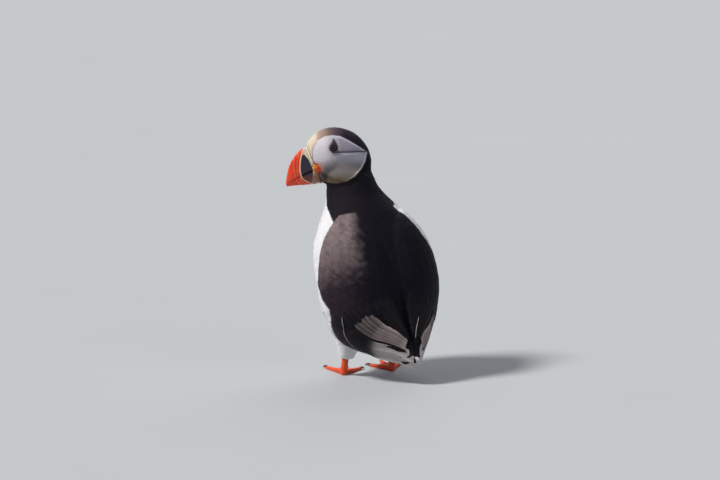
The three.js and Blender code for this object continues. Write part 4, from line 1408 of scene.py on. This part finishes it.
def eye_material():
    """Wet eye: the coloured ball under a clear glossy coat."""
    n = Nodes("eye_wet")
    fibres = n.noise(1500.0, 2.0)
    colour = n.shade(n.attribute("tint", "Color"), n.ranged(fibres, 0.75, 1.2, 0.3, 0.7))
    return n.finish(Base_Color=colour, Roughness=n.ranged(fibres, 0.06, 0.1), Coat_Weight=0.35,
                    Coat_Roughness=0.03, Specular_IOR_Level=0.25)


def floor_material():
    n = Nodes("floor_pale")
    grain = n.noise(6.0)
    shade = n.mix(grain, (0.43, 0.45, 0.47, 1), (0.45, 0.47, 0.49, 1))
    return n.finish(Base_Color=shade, Roughness=0.9, Specular_IOR_Level=0.15)


# ---- stage -------------------------------------------------------------------------------------


def view_axis(azimuth, elevation):
    """Unit vector from the bird towards a viewer at that azimuth and elevation."""
    turn, rise = math.radians(azimuth), math.radians(elevation)
    return Vector((math.cos(rise) * math.sin(turn), -math.cos(rise) * math.cos(turn),
                   math.sin(rise)))


def add_camera():
    back = view_axis(CAMERA_AZIMUTH, CAMERA_ELEVATION)
    data = bpy.data.cameras.new("camera")
    data.sensor_width = 36
    data.lens = data.sensor_width * CAMERA_DISTANCE / VIEW_WIDTH
    data.clip_end = 60
    camera = add_object("camera", data)
    camera.location = Vector(VIEW_TARGET) + back * CAMERA_DISTANCE
    camera.rotation_euler = back.to_track_quat("Z", "Y").to_euler()
    bpy.context.scene.camera = camera


def add_light(name, azimuth, elevation, spread, strength, colour):
    """A far studio light, even over the whole floor; spread is its width in degrees."""
    data = bpy.data.lights.new(name, "SUN")
    data.angle = math.radians(spread)
    data.energy = strength
    data.color = colour
    light = add_object(name, data)
    light.rotation_euler = view_axis(azimuth, elevation).to_track_quat("Z", "Y").to_euler()


def add_stage():
    mesh = bpy.data.meshes.new("floor")
    corners = [(x * FLOOR_HALF, y * FLOOR_HALF, 0) for x, y in ((-1, -1), (1, -1), (1, 1), (-1, 1))]
    mesh.from_pydata(corners, [], [(0, 1, 2, 3)])
    floor = add_object("floor", mesh)
    mesh.materials.append(floor_material())
    world = bpy.data.worlds.new("studio")
    world.use_nodes = True
    shade = world.node_tree.nodes["Background"]
    shade.inputs["Color"].default_value = WORLD_COLOUR
    shade.inputs["Strength"].default_value = WORLD_STRENGTH
    bpy.context.scene.world = world
    bpy.context.scene.view_settings.view_transform = "Standard"
    for light in LIGHTS:
        add_light(*light)


# ---- assembly ----------------------------------------------------------------------------------


def settle(piece, material, slot, nodes=()):
    """Gives a finished piece its material and body, and hides the CAD nodes it stands for; slot is not
    used.
    """
    piece.data.materials.clear()
    piece.data.materials.append(material)
    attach(piece, "root")
    if nodes:
        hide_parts(*nodes)


def coat_groups(feathers):
    """Name, mask, zone and whiteness of each coat piece."""
    zones = feathers["zone"]
    pale = feathers["colour"].mean(axis=1) > PALE_FROM
    head, trunk = zones == HEAD_ZONE, zones == TRUNK_ZONE
    breast = trunk & (body_place(feathers["root"])[1] < BREAST_ANGLE)
    groups = [("coat_face", head & pale, HEAD_ZONE, True),
              ("coat_cap", head & ~pale, HEAD_ZONE, False),
              ("coat_neck", zones == NECK_ZONE, NECK_ZONE, False),
              ("coat_breast", breast, TRUNK_ZONE, True),
              ("coat_flanks", trunk & ~breast & pale, TRUNK_ZONE, True),
              ("coat_back", trunk & ~breast & ~pale, TRUNK_ZONE, False)]
    for side in SIDES:
        for part, is_white in (("wing", False), ("shank", True)):
            zone = ZONES[f"{part}_{side}"]
            groups.append((f"coat_{part}_{side}", zones == zone, zone, is_white))
    return groups


def build_coat(skin, find_zone):
    """Feathers over the whole skin, save where the quills and their coverts lie."""
    surface = Surface(skin.data)
    middles = surface.points[surface.triangles].mean(axis=1)
    zones = find_zone(middles)
    bare = np.isin(zones, QUILL_ZONES)
    bare |= np.isin(zones, WING_ZONES) & (body_place(middles)[0] > COVERT_ROW)
    feathers = plant(surface, find_zone, ~bare, SEED)
    white = plumage_material("plumage_white", 0.1, (1, 1, 1), 0.75, 0.15, 0.03)
    black = plumage_material("plumage_black", 0.02, (0.55, 0.5, 0.8), 0.62, 0.08)
    for name, mask, zone, is_white in coat_groups(feathers):
        vane = FACE_VANE if zone == HEAD_ZONE else CONTOUR_VANE
        piece = feather_piece(name, surface, chosen_of(feathers, mask), vane, zone)
        material, slot = (white, "white_plumage") if is_white else (black, "black_plumage")
        settle(piece, material, slot)


def build_quills():
    quill = plumage_material("plumage_quills", 0.02, (0.8, 0.75, 0.8), 0.55, 0.12)
    for side, sign in SIDES.items():
        settle(quill_piece(f"quills_{side}", wing_blades(sign)), quill, "flight_feather",
               (f"primaries_{side}",))
        settle(quill_piece(f"greater_coverts_{side}", covert_blades(sign)), quill,
               "flight_feather")
    settle(quill_piece("tail_feathers", tail_blades()), quill, "flight_feather", ("tail",))


def build_head_parts():
    horn = horn_material("bill_horn", 0.36, 0.12, 500.0)
    flesh = horn_material("gape_flesh", 0.5, 0.0, 900.0, 0.00015)
    plate = horn_material("eye_plate_horn", 0.45, 0.0, 900.0)
    eye = eye_material()
    for part in ("upper", "lower"):
        settle(bill_piece(part), horn, "bill_horn", (f"bill_{part}",))
    settle(cere_piece(), flesh, "cere_skin", ("cere",))
    for side in SIDES:
        settle(rosette_piece(side), flesh, "rosette_skin", (f"rosette_{side}",))
        settle(eye_piece(side), eye, "eye", (f"eye_{side}",))
        settle(lid_piece(side), flesh, "rosette_skin")
        settle(plate_piece(side), plate, "eye_plate_horn",
               (f"eye_plate_upper_{side}", f"eye_plate_lower_{side}"))


def build_feet():
    scaly = horn_material("foot_skin", 0.48, 0.0, 1100.0, 0.00025)
    claw = horn_material("claw_horn", 0.35, 0.1, 700.0)
    for side in SIDES:
        settle(leg_piece(side), scaly, "foot_skin", (f"tarsus_{side}", f"foot_{side}"))
        settle(claw_piece(side), claw, "claw_horn", [f"claw_{side}_{toe}" for toe in TOES])


def main():
    find_zone = ZoneFinder()
    skin = make_skin(find_zone)
    settle(skin, skin_material(), "white_plumage", FLESH)
    build_coat(skin, find_zone)
    build_quills()
    build_head_parts()
    build_feet()
    add_stage()
    add_camera()


main()
